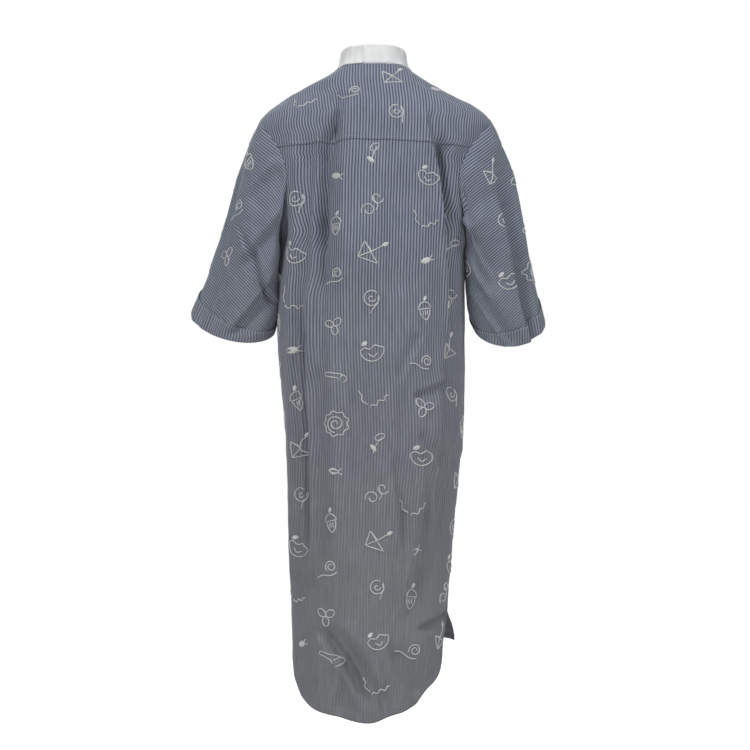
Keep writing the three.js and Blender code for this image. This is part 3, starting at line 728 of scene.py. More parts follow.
def striped_cotton():
    """Fine blue and white stripes woven in cotton, a little uneven, softer towards the hem."""
    if "Striped cotton" in bpy.data.materials:
        return bpy.data.materials["Striped cotton"]
    own = settings()
    look = Look("Striped cotton", own.stripe_dark)
    pattern, u, v = look.pattern()
    place = look.place()
    wobble = look.math("MULTIPLY", look.clouds(place, 60.0, 1.0), 0.0005)
    turns = look.math("MULTIPLY", look.math("ADD", u, wobble), 1.0 / own.stripe_pitch)
    saw = look.math("MULTIPLY", look.math("PINGPONG", turns, 0.5), 2.0)
    dark, light = tuple(own.stripe_dark), tuple(own.stripe_light)
    stripes = look.ramp(saw, (0.0, dark), (0.42, dark), (0.60, light), (1.0, light))
    # The stripes blur together towards the hem, where the cloth hangs in soft shade.
    level = look.add("SeparateXYZ", {"Vector": place}).outputs["Z"]
    ends = {"From Min": -0.30, "From Max": -0.88, "To Min": 0.0, "To Max": 0.86}
    fade = look.add("MapRange", {"Value": level, **ends}).outputs["Result"]
    colour = look.mix(fade, stripes, tuple(own.stripe_blend))
    colour = look.uneven(colour, place, 14.0, 4.0, (0.25, (0.93, 0.93, 0.94)), (0.75, (1.06, 1.06, 1.05)))
    # Slubs are the thicker threads, drawn out along the stripes.
    drawn_out = look.add("Mapping", {"Vector": pattern, "Scale": (1.0, 0.10, 1.0)}).outputs["Vector"]
    colour = look.uneven(colour, drawn_out, 260.0, 3.0, (0.3, (0.88, 0.88, 0.89)), (0.7, (1.12, 1.12, 1.11)))
    colour = look.uneven(colour, pattern, 900.0, 2.0, (0.3, (0.92, 0.92, 0.92)), (0.7, (1.08, 1.08, 1.08)))
    look.woven_bump(u, v, 0.00055, 0.25, 0.00012)
    sheen = {"Sheen Weight": 0.18, "Sheen Roughness": 0.5}
    return look.surface({"Base Color": colour, "Roughness": 0.88, "Specular IOR Level": 0.25, **sheen})


def white_cotton():
    """Plain white cotton, crisp, faintly uneven."""
    if "White cotton" in bpy.data.materials:
        return bpy.data.materials["White cotton"]
    white = tuple(settings().collar_white)
    look = Look("White cotton", white)
    _, u, v = look.pattern()
    dull = tuple(0.93 * c for c in white)
    colour = look.ramp(look.clouds(look.place(), 40.0, 4.0), (0.3, dull), (0.7, white))
    look.woven_bump(u, v, 0.0005, 0.2, 0.0001)
    return look.surface({"Base Color": colour, "Roughness": 0.8, "Sheen Weight": 0.1})


def thread_material(name, colour, ridge):
    """Twisted sewing or embroidery thread."""
    if name in bpy.data.materials:
        return bpy.data.materials[name]
    look = Look(name, colour)
    place = look.place()
    dull = tuple(0.82 * c for c in colour)
    tone = look.ramp(look.clouds(place, 220.0, 2.0), (0.3, dull), (0.7, colour))
    inputs = {"Vector": place, "Scale": ridge, "Distortion": 1.5}
    twist = look.add("TexWave", inputs, bands_direction="DIAGONAL").outputs["Fac"]
    look.bump(twist, 0.5, 0.0002)
    return look.surface({"Base Color": tone, "Roughness": 0.65, "Sheen Weight": 0.25})


def motif_thread():
    return thread_material("Motif thread", tuple(settings().motif_white), 260.0)


def sewing_thread():
    return thread_material("Sewing thread", (0.36, 0.40, 0.47), 700.0)


def white_thread():
    return thread_material("White thread", (0.72, 0.72, 0.72), 700.0)


def pearl_plastic():
    """Pearly shirt button plastic with soft clouds in it."""
    look = Look("Pearl plastic", (0.85, 0.84, 0.80))
    stops = (0.25, (0.72, 0.73, 0.72)), (0.5, (0.86, 0.84, 0.80)), (0.8, (0.90, 0.88, 0.86))
    colour = look.ramp(look.clouds(look.place(), 320.0, 5.0), *stops)
    coat = {"Coat Weight": 0.4, "Coat Roughness": 0.08}
    return look.surface({"Base Color": colour, "Roughness": 0.22, **coat})


# ---- Pieces of the body ----
# How far the front laps over the back at a side seam, as a turn.
SIDE_LAP = 0.055
# Below this the body's cloth runs on under the arm, behind the sleeve, as a gusset does.
GUSSET_TOP = -0.175
# How far the body's cloth reaches into an armhole, and how near the centre line an armhole may come.
SEAM_MARGIN, ARM_SIDE = 6 * MM, 0.1
# Half the width of the slit under the placket, and how far above the placket's foot the slit ends.
SLIT_HALF, SLIT_END = 0.0095, 8 * MM
# The finished cloths by name, for the pieces that are sewn to them.
CLOTHS = {}


def cut_for_arms(points):
    """Marks the points inside the armholes, which the sleeves cover."""
    inside = (from_armhole(points, -SEAM_MARGIN) < 1) & (np.abs(points[..., 0]) > ARM_SIDE)
    return inside & (points[..., 2] > GUSSET_TOP)


def seam_dip(turn):
    """The yoke seam's level at a turn, as a share of its lowest. The seam is highest at the centre back."""
    return 1 - 0.055 * np.cos(np.clip(turn * 1.4, -math.pi / 2, math.pi / 2)) ** 2


def back_hem(x):
    """The level of the back hem at a distance from the centre line, with a dip at the middle."""
    half = np.where(x > 0, VENT_HALF - 5 * MM, VENT_HALF - 7 * MM)
    roundness = np.where(x > 0, 4.8, 2.9)
    share = np.clip(np.abs(x) / half, 0, 1)
    dip = 0.05 * smooth(np.abs(x) / np.where(x > 0, 0.075, 0.045))
    curve = (1 - share**roundness) ** (1 / roundness) - dip * (1 - share**6)
    return VENT_TOP + (BACK_HEM - VENT_TOP) * curve


def front_hem(x):
    share = np.clip(np.abs(x) / VENT_HALF, 0, 1)
    return FRONT_HEM + 0.038 * share**2


def hem_levels(top, foot, rows):
    """Rows of levels from the top edge to the top of the hem's allowance."""
    share = np.linspace(0, 1, rows)[:, None]
    return top + (foot + settings().hem_allowance - top) * share


def blend_panel(piece):
    """Bakes the piece's placement into its points."""
    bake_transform(piece)


def long_panel(side, turns, top, foot, rows, cut, shape=None):
    """A panel from its top edge to its hem, in one cloth."""
    own = settings()
    hem_rows = foot + own.hem_allowance * np.array([0.9, 0.6, 0.3, 0.0])[:, None]
    z = np.vstack([hem_levels(top, foot, rows), hem_rows])
    upper = np.broadcast_to(turns, (rows, turns.shape[-1]))
    turn = np.vstack([upper, upper[-1:].repeat(len(hem_rows), 0)])
    points, base = body_grid(turn, z, own.fold_strength)
    if shape is not None:
        points = shape(points)
    hem_ridge = np.zeros(z.shape)
    hem_ridge[-len(hem_rows) :] = 0.6 * MM
    points = points + grid_normals(points) * hem_ridge[..., None]
    cloth = Cloth(points, base)
    thick = own.cloth_thickness
    piece = sheet_piece(side + "_cloth", points, cloth.pattern(), striped_cotton(), thick, cut(points))
    hand_over(piece, [side + "_panel", side + "_tail"])
    blend_panel(piece)
    CLOTHS[side] = cloth


def settle_hem(turns, hem):
    """The hem level of each column. x depends a little on the level, so both settle in a few rounds."""
    foot = np.full(turns.shape, BACK_HEM)
    for _ in range(6):
        sizes = section(foot)
        power = 2 / sizes[..., 4]
        x = sizes[..., 0] * np.sign(np.sin(turns)) * np.abs(np.sin(turns)) ** power
        foot = 0.5 * foot + 0.5 * hem(x)
    return foot


class GOWN_OT_back_panel(bpy.types.Operator):
    """Back panel and its tail, in one cloth from the yoke seam to the curved hem"""

    bl_idname = "gown.back_panel"
    bl_label = "Back panel"

    def execute(self, context):
        turns = np.linspace(-math.pi / 2, math.pi / 2, 151)
        top = YOKE_SEAM * seam_dip(turns) + 4 * MM
        long_panel("back", turns, top, settle_hem(turns, back_hem), 222, cut_for_arms)
        return {"FINISHED"}


def flick_corner(points):
    """Turns the corner of the front hem on the wearer's right outward, past the back panel's edge."""
    low = smooth((-0.945 - points[..., 2]) / 0.06)
    near = smooth((-0.085 - points[..., 0]) / 0.05)
    back = smooth((points[..., 1] + 0.075) / 0.07)
    out = points.copy()
    out[..., 0] -= 0.019 * low * near * back
    out[..., 1] -= 0.006 * low * near
    out[..., 2] -= 0.006 * low * near * back
    return out


class GOWN_OT_front_panel(bpy.types.Operator):
    """Front panel and its tail, in one cloth from the neck to the hem, slit for the placket"""

    bl_idname = "gown.front_panel"
    bl_label = "Front panel"

    def execute(self, context):
        top, rows = -1 * MM, 216
        share = np.linspace(-1, 1, 151)
        foot = settle_hem(math.pi + share * math.pi / 2, front_hem)
        level = hem_levels(top, foot, rows)
        seam = FRONT_YOKE_SEAM * (1 - smooth((-0.2 - level) / 0.08))
        lap = SIDE_LAP * smooth((level - VENT_TOP) / 0.012) * smooth((-0.255 - level) / 0.03)
        edge = turn_at_depth(seam - 1 * MM, level) - lap
        turns = math.pi + share * (math.pi - edge)

        def cut(points):
            in_slit = (np.abs(points[..., 0]) < SLIT_HALF) & (points[..., 2] > PLACKET_FOOT + SLIT_END)
            return cut_for_arms(points) | (in_slit & (points[..., 1] < 0))

        def shape(points):
            """Lifts the side edges over the back panel's above the vents, and turns a corner of the hem."""
            beside_back = (points[..., 2] > VENT_TOP) & (points[..., 2] < -0.27)
            lift = 0.9 * MM * smooth((np.abs(share) - 0.93) / 0.03) * beside_back
            return flick_corner(points + grid_normals(points) * lift[..., None])

        long_panel("front", turns, top, foot, rows, cut, shape)
        return {"FINISHED"}


class GOWN_OT_yoke(bpy.types.Operator):
    """Back yoke over the shoulders, with its lining inside"""

    bl_idname = "gown.yoke"
    bl_label = "Yoke"

    def execute(self, context):
        own = settings()
        columns, rows = 181, 64
        share = np.linspace(-1, 1, columns)
        z = (YOKE_SEAM * np.linspace(0, 1, rows) ** 1.25)[:, None] * seam_dip(share * 2.2)
        turn = share * turn_at_depth(FRONT_YOKE_SEAM, z)
        points, base = body_grid(turn, z, own.fold_strength)
        outside = points + grid_normals(points) * 0.7 * MM
        cloth = Cloth(outside, base)
        # In front of the shoulder line the pattern runs back again, as the mirror of the back's.
        at_ridge = np.argmin(np.abs(np.abs(turn) - math.pi / 2) + (turn < 0) * 9, axis=1)
        quarter = cloth.across[np.arange(rows), at_ridge][:, None]
        run = np.abs(cloth.across)
        pattern = cloth.pattern()
        pattern[..., 0] = np.sign(cloth.across) * np.where(run > quarter, 2 * quarter - run, run)
        inside = outside - grid_normals(outside) * LAYER
        for name, grid, node, held_by, area in (
            ("yoke_cloth", outside, "back_yoke", "neck_opening", 0.096),
            ("yoke_lining_cloth", inside, "yoke_lining", "yoke_cloth", 0.095),
        ):
            armholes = cut_for_arms(outside)
            piece = sheet_piece(name, grid, pattern, striped_cotton(), own.cloth_thickness, armholes)
            hand_over(piece, [node], "gown_body")
        CLOTHS["yoke"] = cloth
        return {"FINISHED"}


class GOWN_OT_sleeves(bpy.types.Operator):
    """Both half sleeves, cut on the bias"""

    bl_idname = "gown.sleeves"
    bl_label = "Sleeves"

    def execute(self, context):
        own = settings()
        for name, sleeve in SLEEVES.items():
            share, down = sleeve_shares(name, np.linspace(0, 1, SLEEVE_ROWS))
            points = sleeve_grid(name, share, down, own.fold_strength)
            points[:, -1] = points[:, 0]
            # The stripes run at a slant round the sleeve, as they do in cloth that is cut on the bias.
            around = SLEEVE_GIRTH / 2 * share
            along = points @ np.array([0.22 * sleeve["side"], 0, -0.975])
            pattern = np.stack([0.68 * around - 1.12 * along, 1.12 * around + 0.68 * along], -1)
            cloth_name, thick = name + "_sleeve_cloth", own.cloth_thickness
            piece = sheet_piece(cloth_name, points, pattern, striped_cotton(), thick, joined=True)
            hand_over(piece, [name + "_sleeve"])
            blend_sleeve(piece)
            CLOTHS[name] = Cloth(points, sleeve_points(name, share, down))
        return {"FINISHED"}


def blend_sleeve(piece):
    """Bakes the sleeve's placement into its points."""
    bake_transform(piece)


class GOWN_OT_cuffs(bpy.types.Operator):
    """Turned-back cuffs, double, folded under the sleeve ends and tacked on the outside"""

    bl_idname = "gown.cuffs"
    bl_label = "Cuffs"

    def execute(self, context):
        for name, sleeve in SLEEVES.items():
            cloth = CLOTHS[name]
            top = 1 - CUFF_HEIGHT / cloth.down[-1, cloth.middle]
            steps = np.concatenate([np.linspace(top, 1, 9), [1.0, 1.0, 1.0]])
            lifts = np.concatenate([np.linspace(2.0, 1.9, 9), [1.8, 0.9, -0.9]]) * MM
            drops = np.concatenate([np.zeros(9), [0.9, 1.6, 1.1]]) * MM
            share, down = sleeve_shares(name, steps)
            points, normals = sleeve_rows(cloth, steps)
            flare = 1 + 0.6 * np.sin(share * 9.0 + sleeve["side"]) * (1 - (down - top) / (1 - top))
            points = points + normals * (lifts[:, None] + 0.5 * MM * flare * (down < 1))[..., None]
            points[..., 2] -= drops[:, None]
            points[:, -1] = points[:, 0]
            cuff = Cloth(points)
            cuff_name = name + "_cuff_cloth"
            piece = sheet_piece(cuff_name, points, cuff.pattern(), striped_cotton(), 1.0 * MM, joined=True)
            hand_over(piece, [name + "_cuff"], name + "_sleeve_body")
            CLOTHS[name + "_cuff"] = cuff
            tack_cuff(name, cuff)
        return {"FINISHED"}


def sleeve_rows(cloth, steps):
    """A sleeve's own surface at chosen shares of its length, with its outward normals."""
    place = steps * (SLEEVE_ROWS - 1)
    low = np.minimum(place.astype(int), SLEEVE_ROWS - 2)
    part = (place - low)[:, None, None]
    points = cloth.points[low] * (1 - part) + cloth.points[low + 1] * part
    normals = cloth.normals[low] * (1 - part) + cloth.normals[low + 1] * part
    # The first and the last column are the same line, along the underarm.
    normals[:, -1] = normals[:, 0] = normals[:, 1] + normals[:, -2]
    return points, normals / np.linalg.norm(normals, axis=-1, keepdims=True)


def tack_cuff(name, cloth):
    """A few thread loops that hold the cuff up."""
    strokes = []
    for across in np.linspace(-1, 1, 5) * MM:
        strokes.append([cloth.at(across, step * MM) for step in np.linspace(5, 16, 7)])
    parts = [bead_mesh(strokes, 0.6 * MM, 0.45 * MM)]
    name_here, nodes = name + "_cuff_tack_thread", [name + "_cuff_tack"]
    thread_piece(name_here, parts, white_thread(), nodes, name + "_sleeve_body")


# ---- Collar, placket and labels ----
COLLAR_OVERLAP = 0.015
COLLAR_LAP = 1.95 * MM
COLLAR_THICK = 2.4 * MM
# The turn from the centre back to an end of the collar, which is 61 mm from the neck's middle.
COLLAR_SWEEP = math.pi + COLLAR_OVERLAP / 0.061


def collar_points(turn, z):
    """The middle of the collar's band, with a few creases at the back and its ends lapped at the front."""
    points = drape(turn, z)
    crease = ripple(points, 1.8 * MM, 38.0, 31) + ripple(points, 0.7 * MM, 110.0, 37)
    creased = crease * smooth((0.85 * math.pi - np.abs(turn)) / 0.2)
    lap_start = 0.72 * math.pi
    ease = smooth((np.abs(turn) - lap_start) / (2 * math.pi - COLLAR_SWEEP - lap_start))
    out = np.stack([np.sin(turn), np.cos(turn), np.zeros_like(turn)], -1)
    return points + out * (creased - np.sign(turn) * COLLAR_LAP * ease)[..., None]


class GOWN_OT_collar(bpy.types.Operator):
    """White stand collar, three layers in one band, lapped and buttoned at the centre front"""

    bl_idname = "gown.collar"
    bl_label = "Stand collar"

    def execute(self, context):
        levels = np.linspace(COLLAR_TOP - 0.2 * MM, 1.0 * MM, 15)
        turn, z = np.meshgrid(np.linspace(-COLLAR_SWEEP, COLLAR_SWEEP, 221), levels)
        points = collar_points(turn, z)
        creases = ripple(points * np.array([1, 1, 3.5]), 2.0 * MM, 40.0, 31)
        creases += ripple(points, 1.0 * MM, 110.0, 37)
        edge = 1 - 0.4 * smooth((z - 0.028) / 0.006)
        points = points + grid_normals(points) * (COLLAR_THICK / 2 + creases * edge)[..., None]
        cloth = Cloth(points)
        piece = sheet_piece("stand_collar", points, cloth.pattern(), white_cotton(), COLLAR_THICK)
        bevel_edges(piece, 0.7 * MM, 2, 60)
        hand_over(piece, ["collar_outer", "collar_interfacing", "collar_inner"], "gown_body")
        CLOTHS["collar"] = cloth
        return {"FINISHED"}


def front_strip(name, node, half, foot, lift, rows, thickness, slot="striped_cotton"):
    """A narrow band that follows the centre front of the cloth, from the neck to a length down it."""
    top = 2 * MM
    lifts = np.full(rows, lift)
    grid = CLOTHS["front"].patch(np.linspace(-half, half, 21), np.linspace(top, foot, rows), lifts)
    band = Cloth(grid)
    pattern, material = band.pattern(), striped_cotton()
    if slot == "interfacing":
        pattern, material = pattern[..., ::-1], white_cotton()
    piece = sheet_piece(name, grid, pattern, material, thickness)
    hand_over(piece, [node], "gown_body")
    return band


class GOWN_OT_placket(bpy.types.Operator):
    """Neck placket: an over band, an interfacing and an under band"""

    bl_idname = "gown.placket"
    bl_label = "Placket"

    def execute(self, context):
        over = ("placket_over_cloth", "placket_over_band", 0.015, 0.318, 1.6 * MM, 90, 0.7 * MM)
        inner = ("placket_inner_cloth", "placket_interfacing", 0.0118, 0.312, 0.3 * MM, 40, 0.6 * MM)
        under = ("placket_under_cloth", "placket_under_band", 0.015, 0.318, -0.9 * MM, 60, 0.7 * MM)
        CLOTHS["placket"] = front_strip(*over)
        front_strip(*inner, slot="interfacing")
        front_strip(*under)
        return {"FINISHED"}


def cad_centre(node):
    low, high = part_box(node)
    return (Vector(low) + Vector(high)) / 2


class GOWN_OT_buttons(bpy.types.Operator):
    """Five four-hole shirt buttons with their sewing thread and worked buttonholes"""

    bl_idname = "gown.buttons"
    bl_label = "Buttons"

    def execute(self, context):
        pattern = make_button()
        for number in range(1, 6):
            node = "button_%d" % number
            centre = cad_centre(node)
            if number == 1:
                way = facing(collar_points, 0.02, 0.020, 0.014)
            else:
                way = facing(drape, 0.01, centre.z + 0.003, centre.z - 0.003)
            place = Matrix.Translation(centre) @ way.to_track_quat("Z", "Y").to_matrix().to_4x4()
            button = pattern.copy()
            button.data = pattern.data.copy()
            button.name = "shirt_" + node
            bpy.context.collection.objects.link(button)
            button.data.transform(place)
            hand_over(button, [node], "gown_body")
            sew_button(number, place)
            work_buttonhole(number, place)
        bpy.data.objects.remove(pattern, do_unlink=True)
        return {"FINISHED"}


def facing(surface, step, top, foot):
    """The way out from a surface at the centre front, between two levels."""
    points = surface(*np.meshgrid([math.pi - step, math.pi, math.pi + step], [top, foot]))
    return Vector(grid_normals(points)[0, 1]).normalized()


def select_faces(piece, test):
    """Selects the faces that pass a test, and nothing else."""
    work = bmesh.from_edit_mesh(piece.data)
    for face in work.faces:
        face.select_set(False)
    work.select_flush(False)
    for face in work.faces:
        face.select_set(bool(test(face)))
    bmesh.update_edit_mesh(piece.data)


def make_button():
    """One button, modelled at the origin and facing up: a turned disc with a sunk middle and four holes."""
    radius, thick = 5.75 * MM, 2.4 * MM
    bpy.ops.object.select_all(action="DESELECT")
    bpy.ops.mesh.primitive_cylinder_add(vertices=48, radius=radius, depth=thick, location=(0, 0, 0))
    button = bpy.context.object
    button.name = "button_pattern"
    bpy.ops.object.mode_set(mode="EDIT")
    bpy.ops.mesh.select_mode(type="FACE")
    select_faces(button, lambda f: f.normal.z > 0.9)
    bpy.ops.mesh.inset(thickness=1.1 * MM)
    bpy.ops.mesh.inset(thickness=0.7 * MM)
    bpy.ops.transform.translate(value=(0, 0, -0.55 * MM))
    select_faces(button, lambda f: f.normal.z < -0.9)
    bpy.ops.mesh.inset(thickness=0.9 * MM)
    bpy.ops.transform.translate(value=(0, 0, -0.15 * MM))
    bpy.ops.object.mode_set(mode="OBJECT")
    bevel_edges(button, 0.35 * MM, 3, 40)
    for x, y in ((1.5, 1.5), (-1.5, 1.5), (-1.5, -1.5), (1.5, -1.5)):
        bpy.ops.object.select_all(action="DESELECT")
        place = (x * MM, y * MM, 0)
        bpy.ops.mesh.primitive_cylinder_add(vertices=16, radius=0.8 * MM, depth=8 * MM, location=place)
        drill = bpy.context.object
        hole = button.modifiers.new("hole", "BOOLEAN")
        hole.operation = "DIFFERENCE"
        hole.solver = "EXACT"
        hole.object = drill
        apply_modifiers(button)
        bpy.data.objects.remove(drill, do_unlink=True)
    select_only(button)
    bpy.ops.object.shade_smooth_by_angle(angle=math.radians(35))
    button.data.materials.append(pearl_plastic())
    return button


def sew_button(number, place):
    """Two bars of thread through the four holes, with their legs and the shank below."""
    path = [(-1.5, -2.6), (-1.5, 0.4), (-1.2, 1.0), (0, 1.15), (1.2, 1.0), (1.5, 0.4), (1.5, -2.6)]
    parts = []
    for y in (1.25, 1.75, -1.75, -1.25):
        verts, faces = round_thread([Vector((x * MM, y * MM, z * MM)) for x, z in path], 0.28 * MM)
        parts.append(([place @ v for v in verts], faces))
    nodes = ["button_thread_%d" % number]
    thread_piece("button_sewing_%d" % number, parts, white_thread(), nodes, "gown_body")


def round_thread(points, radius, sides=6):
    """A round thread along a few points, closed at both ends."""
    verts, faces = [], []
    across = Vector((0, 1, 0))
    for k, point in enumerate(points):
        ahead = points[min(k + 1, len(points) - 1)] - points[max(k - 1, 0)]
        ahead.normalize()
        other = ahead.cross(across).normalized()
        for s in range(sides):
            a = 2 * math.pi * s / sides
            verts.append(point + across * (radius * math.cos(a)) + other * (radius * math.sin(a)))
    for k in range(len(points) - 1):
        for s in range(sides):
            a, b = k * sides + s, k * sides + (s + 1) % sides
            faces.append((a, b, b + sides, a + sides))
    faces.append(tuple(range(sides)))
    faces.append(tuple(reversed(range((len(points) - 1) * sides, len(points) * sides))))
    return verts, faces


def work_buttonhole(number, place):
    """The worked edge of a buttonhole, which shows past the button above and below."""
    normal = np.array(place.to_3x3() @ Vector((0, 0, 1)))
    reach, half = 6.6 * MM, 1.0 * MM
    outline = []
    for k in range(29):
        a = 2 * math.pi * k / 28
        x = half * math.copysign(abs(math.cos(a)) ** 0.35, math.cos(a))
        outline.append((np.array(place @ Vector((x, reach * math.sin(a), -2.15 * MM))), normal))
    parts = [bead_mesh([outline], 1.1 * MM, 0.6 * MM)]
    thread_piece("buttonhole_%d" % number, parts, white_thread(), body="gown_body")


class GOWN_OT_labels(bpy.types.Operator):
    """Blank neck label and blank care label, both inside"""

    bl_idname = "gown.labels"
    bl_label = "Labels"

    def execute(self, context):
        back = CLOTHS["back"]
        near_seam = back.across[150, -12] - 0.030
        neck = ("neck_tape", "neck_label", CLOTHS["yoke"], 0.0, 0.008, 0.046, 0.020, -3.2 * MM)
        care = ("care_tape", "care_label", back, near_seam, 0.600, 0.028, 0.052, -1.4 * MM)
        self.label(*neck, "back_yoke")
        self.label(*care, "back_cloth")
        return {"FINISHED"}

    def label(self, name, node, cloth, across, down, width, height, lift, held_by):
        rows, columns = 17, 21
        over = across + np.linspace(-width / 2, width / 2, columns)
        lifts = lift - 0.8 * MM * (np.arange(rows) / rows) ** 2
        grid = cloth.patch(over, np.linspace(down, down + height, rows), lifts)
        piece = sheet_piece(name, grid, Cloth(grid).pattern(), white_cotton(), 0.35 * MM)
        hand_over(piece, [node], "gown_body")


# ---- Raised motifs ----
# Each drawing is a list of strokes and a list of filled patches, in millimetres about its own middle.
def ring(radius, start=0.0, end=2 * math.pi, count=28, wave=0.0, lobes=0, squash=1.0):
    angles = np.linspace(start, end, count)
    r = radius + wave * np.cos(lobes * angles)
    return np.stack([r * np.cos(angles), squash * r * np.sin(angles)], -1)


def spiral(low, high, turns, count=30, start=0.0):
    t = np.linspace(0, 1, count)
    r = low + (high - low) * t
    a = start + 2 * math.pi * turns * t
    return np.stack([r * np.cos(a), r * np.sin(a)], -1)


def moved(line, x, y, turn=0.0, scale=1.0):
    c, s = math.cos(turn), math.sin(turn)
    return scale * line @ np.array([[c, s], [-s, c]]) + np.array([x, y])


def wave_line(length, height, waves, count=34):
    t = np.linspace(0, 1, count)
    return np.stack([length * (t - 0.5), height * np.sin(2 * math.pi * waves * t)], -1)


def almond(length, width, count=18):
    t = np.linspace(0, 2 * math.pi, count)
    return np.stack([0.5 * length * np.cos(t), 0.5 * width * np.sin(t) * np.abs(np.sin(t)) ** 0.4], -1)


def sun():
    return [ring(14, wave=1.3, lobes=9, count=55), spiral(2, 10.5, 1.8, 34)], []


def crossed_kite():
    box_line = np.array([[-11, 9], [-12, -9], [10, -9], [-11, 9], [0, 1], [10, 12]])
    return [box_line, np.array([[-12, -9], [2, 3]])], [moved(almond(8, 4.5), 11, 13, 0.8)]


def double_curl():
    low = moved(spiral(3, 8, 1.1, 24, math.pi), -4, -7)
    high = moved(spiral(2.5, 7, 1.0, 24), 4, 7)
    return [low, high, np.array([[4, -7], [6, -1], [2, 3], [0, 7]])], []


def leaf_sprig():
    stem = wave_line(22, 1.5, 0.5, 12)
    return [moved(stem, 0, 0, 1.0), moved(almond(12, 7), 3, 9, 0.4)], [moved(almond(10, 5), -5, -3, 2.2)]


def acorn():
    cup = ring(8, 0, math.pi, 14)
    nut = np.array([[-6.5, 0], [-6, -6], [-3, -11], [0, -13.5], [3, -11], [6, -6], [6.5, 0]])
    hatch = [np.array([[x, -1.5], [x * 0.8, -8]]) for x in (-3, 0, 3)]
    return [cup, nut, np.array([[-8, 0], [8, 0]]), *hatch], [moved(almond(7, 4), 2, 12, 1.0)]


def long_squiggle():
    first = np.array([[-15, 13], [-13, 7], [-15, 1], [-10, -5]])
    second = wave_line(24, 1.8, 2.5, 26)
    return [first, moved(second, 3, -6, 0.25)], []


def pear_loop():
    drop = ring(8, 0.3 * math.pi, 2.2 * math.pi, 26)
    tail = np.array([[6.3, 6], [8, 0], [4, -7], [2, -13]])
    return [moved(drop, 0, 3), tail, moved(spiral(1, 4.5, 1.0, 14), 0, 3)], []


def seed_pair():
    return [np.array([[6, 1], [10, 4]]), np.array([[6, -1], [11, -3]])], [almond(14, 7.5)]


def three_petals():
    petals = [moved(almond(12, 8, 16), 6 * math.cos(a), 6 * math.sin(a), a) for a in (0.5, 2.6, 4.7)]
    return petals, []


def snail():
    return [moved(spiral(2, 7, 1.6, 30), 5, 1), wave_line(26, 1.6, 1.0, 18) + np.array([-3, -7])], []


def bowl():
    cup = ring(13, math.pi, 2 * math.pi, 20)
    rim = np.array([[-13, 0], [-8, 3], [-2, 0], [4, 4], [9, 1], [13, 0]])
    return [cup, rim, np.array([[-5, -4], [0, -9], [5, -5]])], [moved(almond(8, 5), -7, 7, 0.5)]


def crook():
    handle = np.array([[-12, -2], [-12, 2], [-4, 3], [6, 3], [11, 2]])
    hook = moved(ring(4, -0.5 * math.pi, math.pi, 14), 11, -2)
    return [handle, hook, np.array([[-12, -2], [4, -2], [7, -5]])], []


DRAWINGS = (sun, leaf_sprig, double_curl, crossed_kite, pear_loop, bowl, long_squiggle, seed_pair,
            acorn, snail, three_petals, crook)


def finer(line, step=1.7):
    """The same line with points at an even step."""
    run = np.concatenate([[0], np.cumsum(np.linalg.norm(np.diff(line, axis=0), axis=1))])
    count = max(int(run[-1] / step), 2) + 1
    places = np.linspace(0, run[-1], count)
    return np.stack([np.interp(places, run, line[:, k]) for k in range(2)], -1)


def motif_parts(cloth, across, down, drawing, lean, scale):
    """One drawing laid on the cloth, or nothing where it would run off the cloth."""
    own = settings()
    strokes, patches = drawing()
    size = scale * own.motif_scale
    laid = [cloth.laid(across, down, size * finer(line), lean) for line in strokes]
    filled = [cloth.laid(across, down, size * patch[:-1], lean) for patch in patches]
    if any(line is None for line in laid + filled):
        return []
    parts = [bead_mesh(laid, own.motif_width, own.motif_height)]
    return parts + [dome_mesh(outline, own.motif_height) for outline in filled]


def fits(cloth, across, down, edge, holes):
    """Whether a drawing stays on the cloth, this far from its edges and clear of what is sewn over it."""
    row = int(np.interp(down, cloth.down[:, cloth.middle], np.arange(len(cloth.down))))
    if not edge < down < cloth.down[-1, cloth.middle] - edge:
        return False
    line = cloth.across[row]
    if not line[0] + edge < across < line[-1] - edge:
        return False
    column = int(np.interp(across, line, np.arange(len(line))))
    if down > cloth.down[-1, column] - edge:
        return False
    point, _ = cloth.at(across, down)
    return not holes(point)


def near_armhole(point):
    return from_armhole(point, 0.016) < 1 and abs(point[0]) > ARM_SIDE


def near_armhole_or_placket(point):
    at_centre = abs(point[0]) < 0.034 and point[1] < 0
    return near_armhole(point) or (at_centre and point[2] > PLACKET_FOOT - 0.02)


def under_cuff(point):
    return point[2] < -0.392


# The middle of every drawing so far, and how close two may be.
PLACED = []
ROOM = 0.05


def crowded(point):
    """Whether a drawing already lies near this point, on this piece of cloth or the next one."""
    return any(np.linalg.norm(point - other) < ROOM for other in PLACED)


def scatter(name, cloth, shift, edge, holes, first, lean=0.0):
    """Columns of drawings over a piece of cloth, each column moved down half a place from the last."""
    own = settings()
    parts = []
    columns = int(float(cloth.across.max()) / own.motif_across) + 2
    rows = int(cloth.down.max() / own.motif_down) + 2
    for j in range(-columns, columns + 1):
        for i in range(rows):
            jog = math.sin(12.9 * i + 78.2 * j + first)
            across = j * own.motif_across + shift + 8 * MM * jog
            down = (i + 0.3 + 0.5 * (j % 2)) * own.motif_down + 7 * MM * math.cos(31.7 * i + 17.3 * j)
            if not fits(cloth, across, down, edge, holes):
                continue
            point, _ = cloth.at(across, down)
            if crowded(point):
                continue
            PLACED.append(point)
            turn = lean + 0.35 * math.sin(5.1 * i + 3.3 * j + first)
            drawing = DRAWINGS[(first + i % 6 + 6 * (j % 2) + 2 * (j // 2)) % len(DRAWINGS)]
            parts += motif_parts(cloth, across, down, drawing, turn, 1.0 + 0.06 * jog)
    return thread_piece(name, parts, motif_thread())


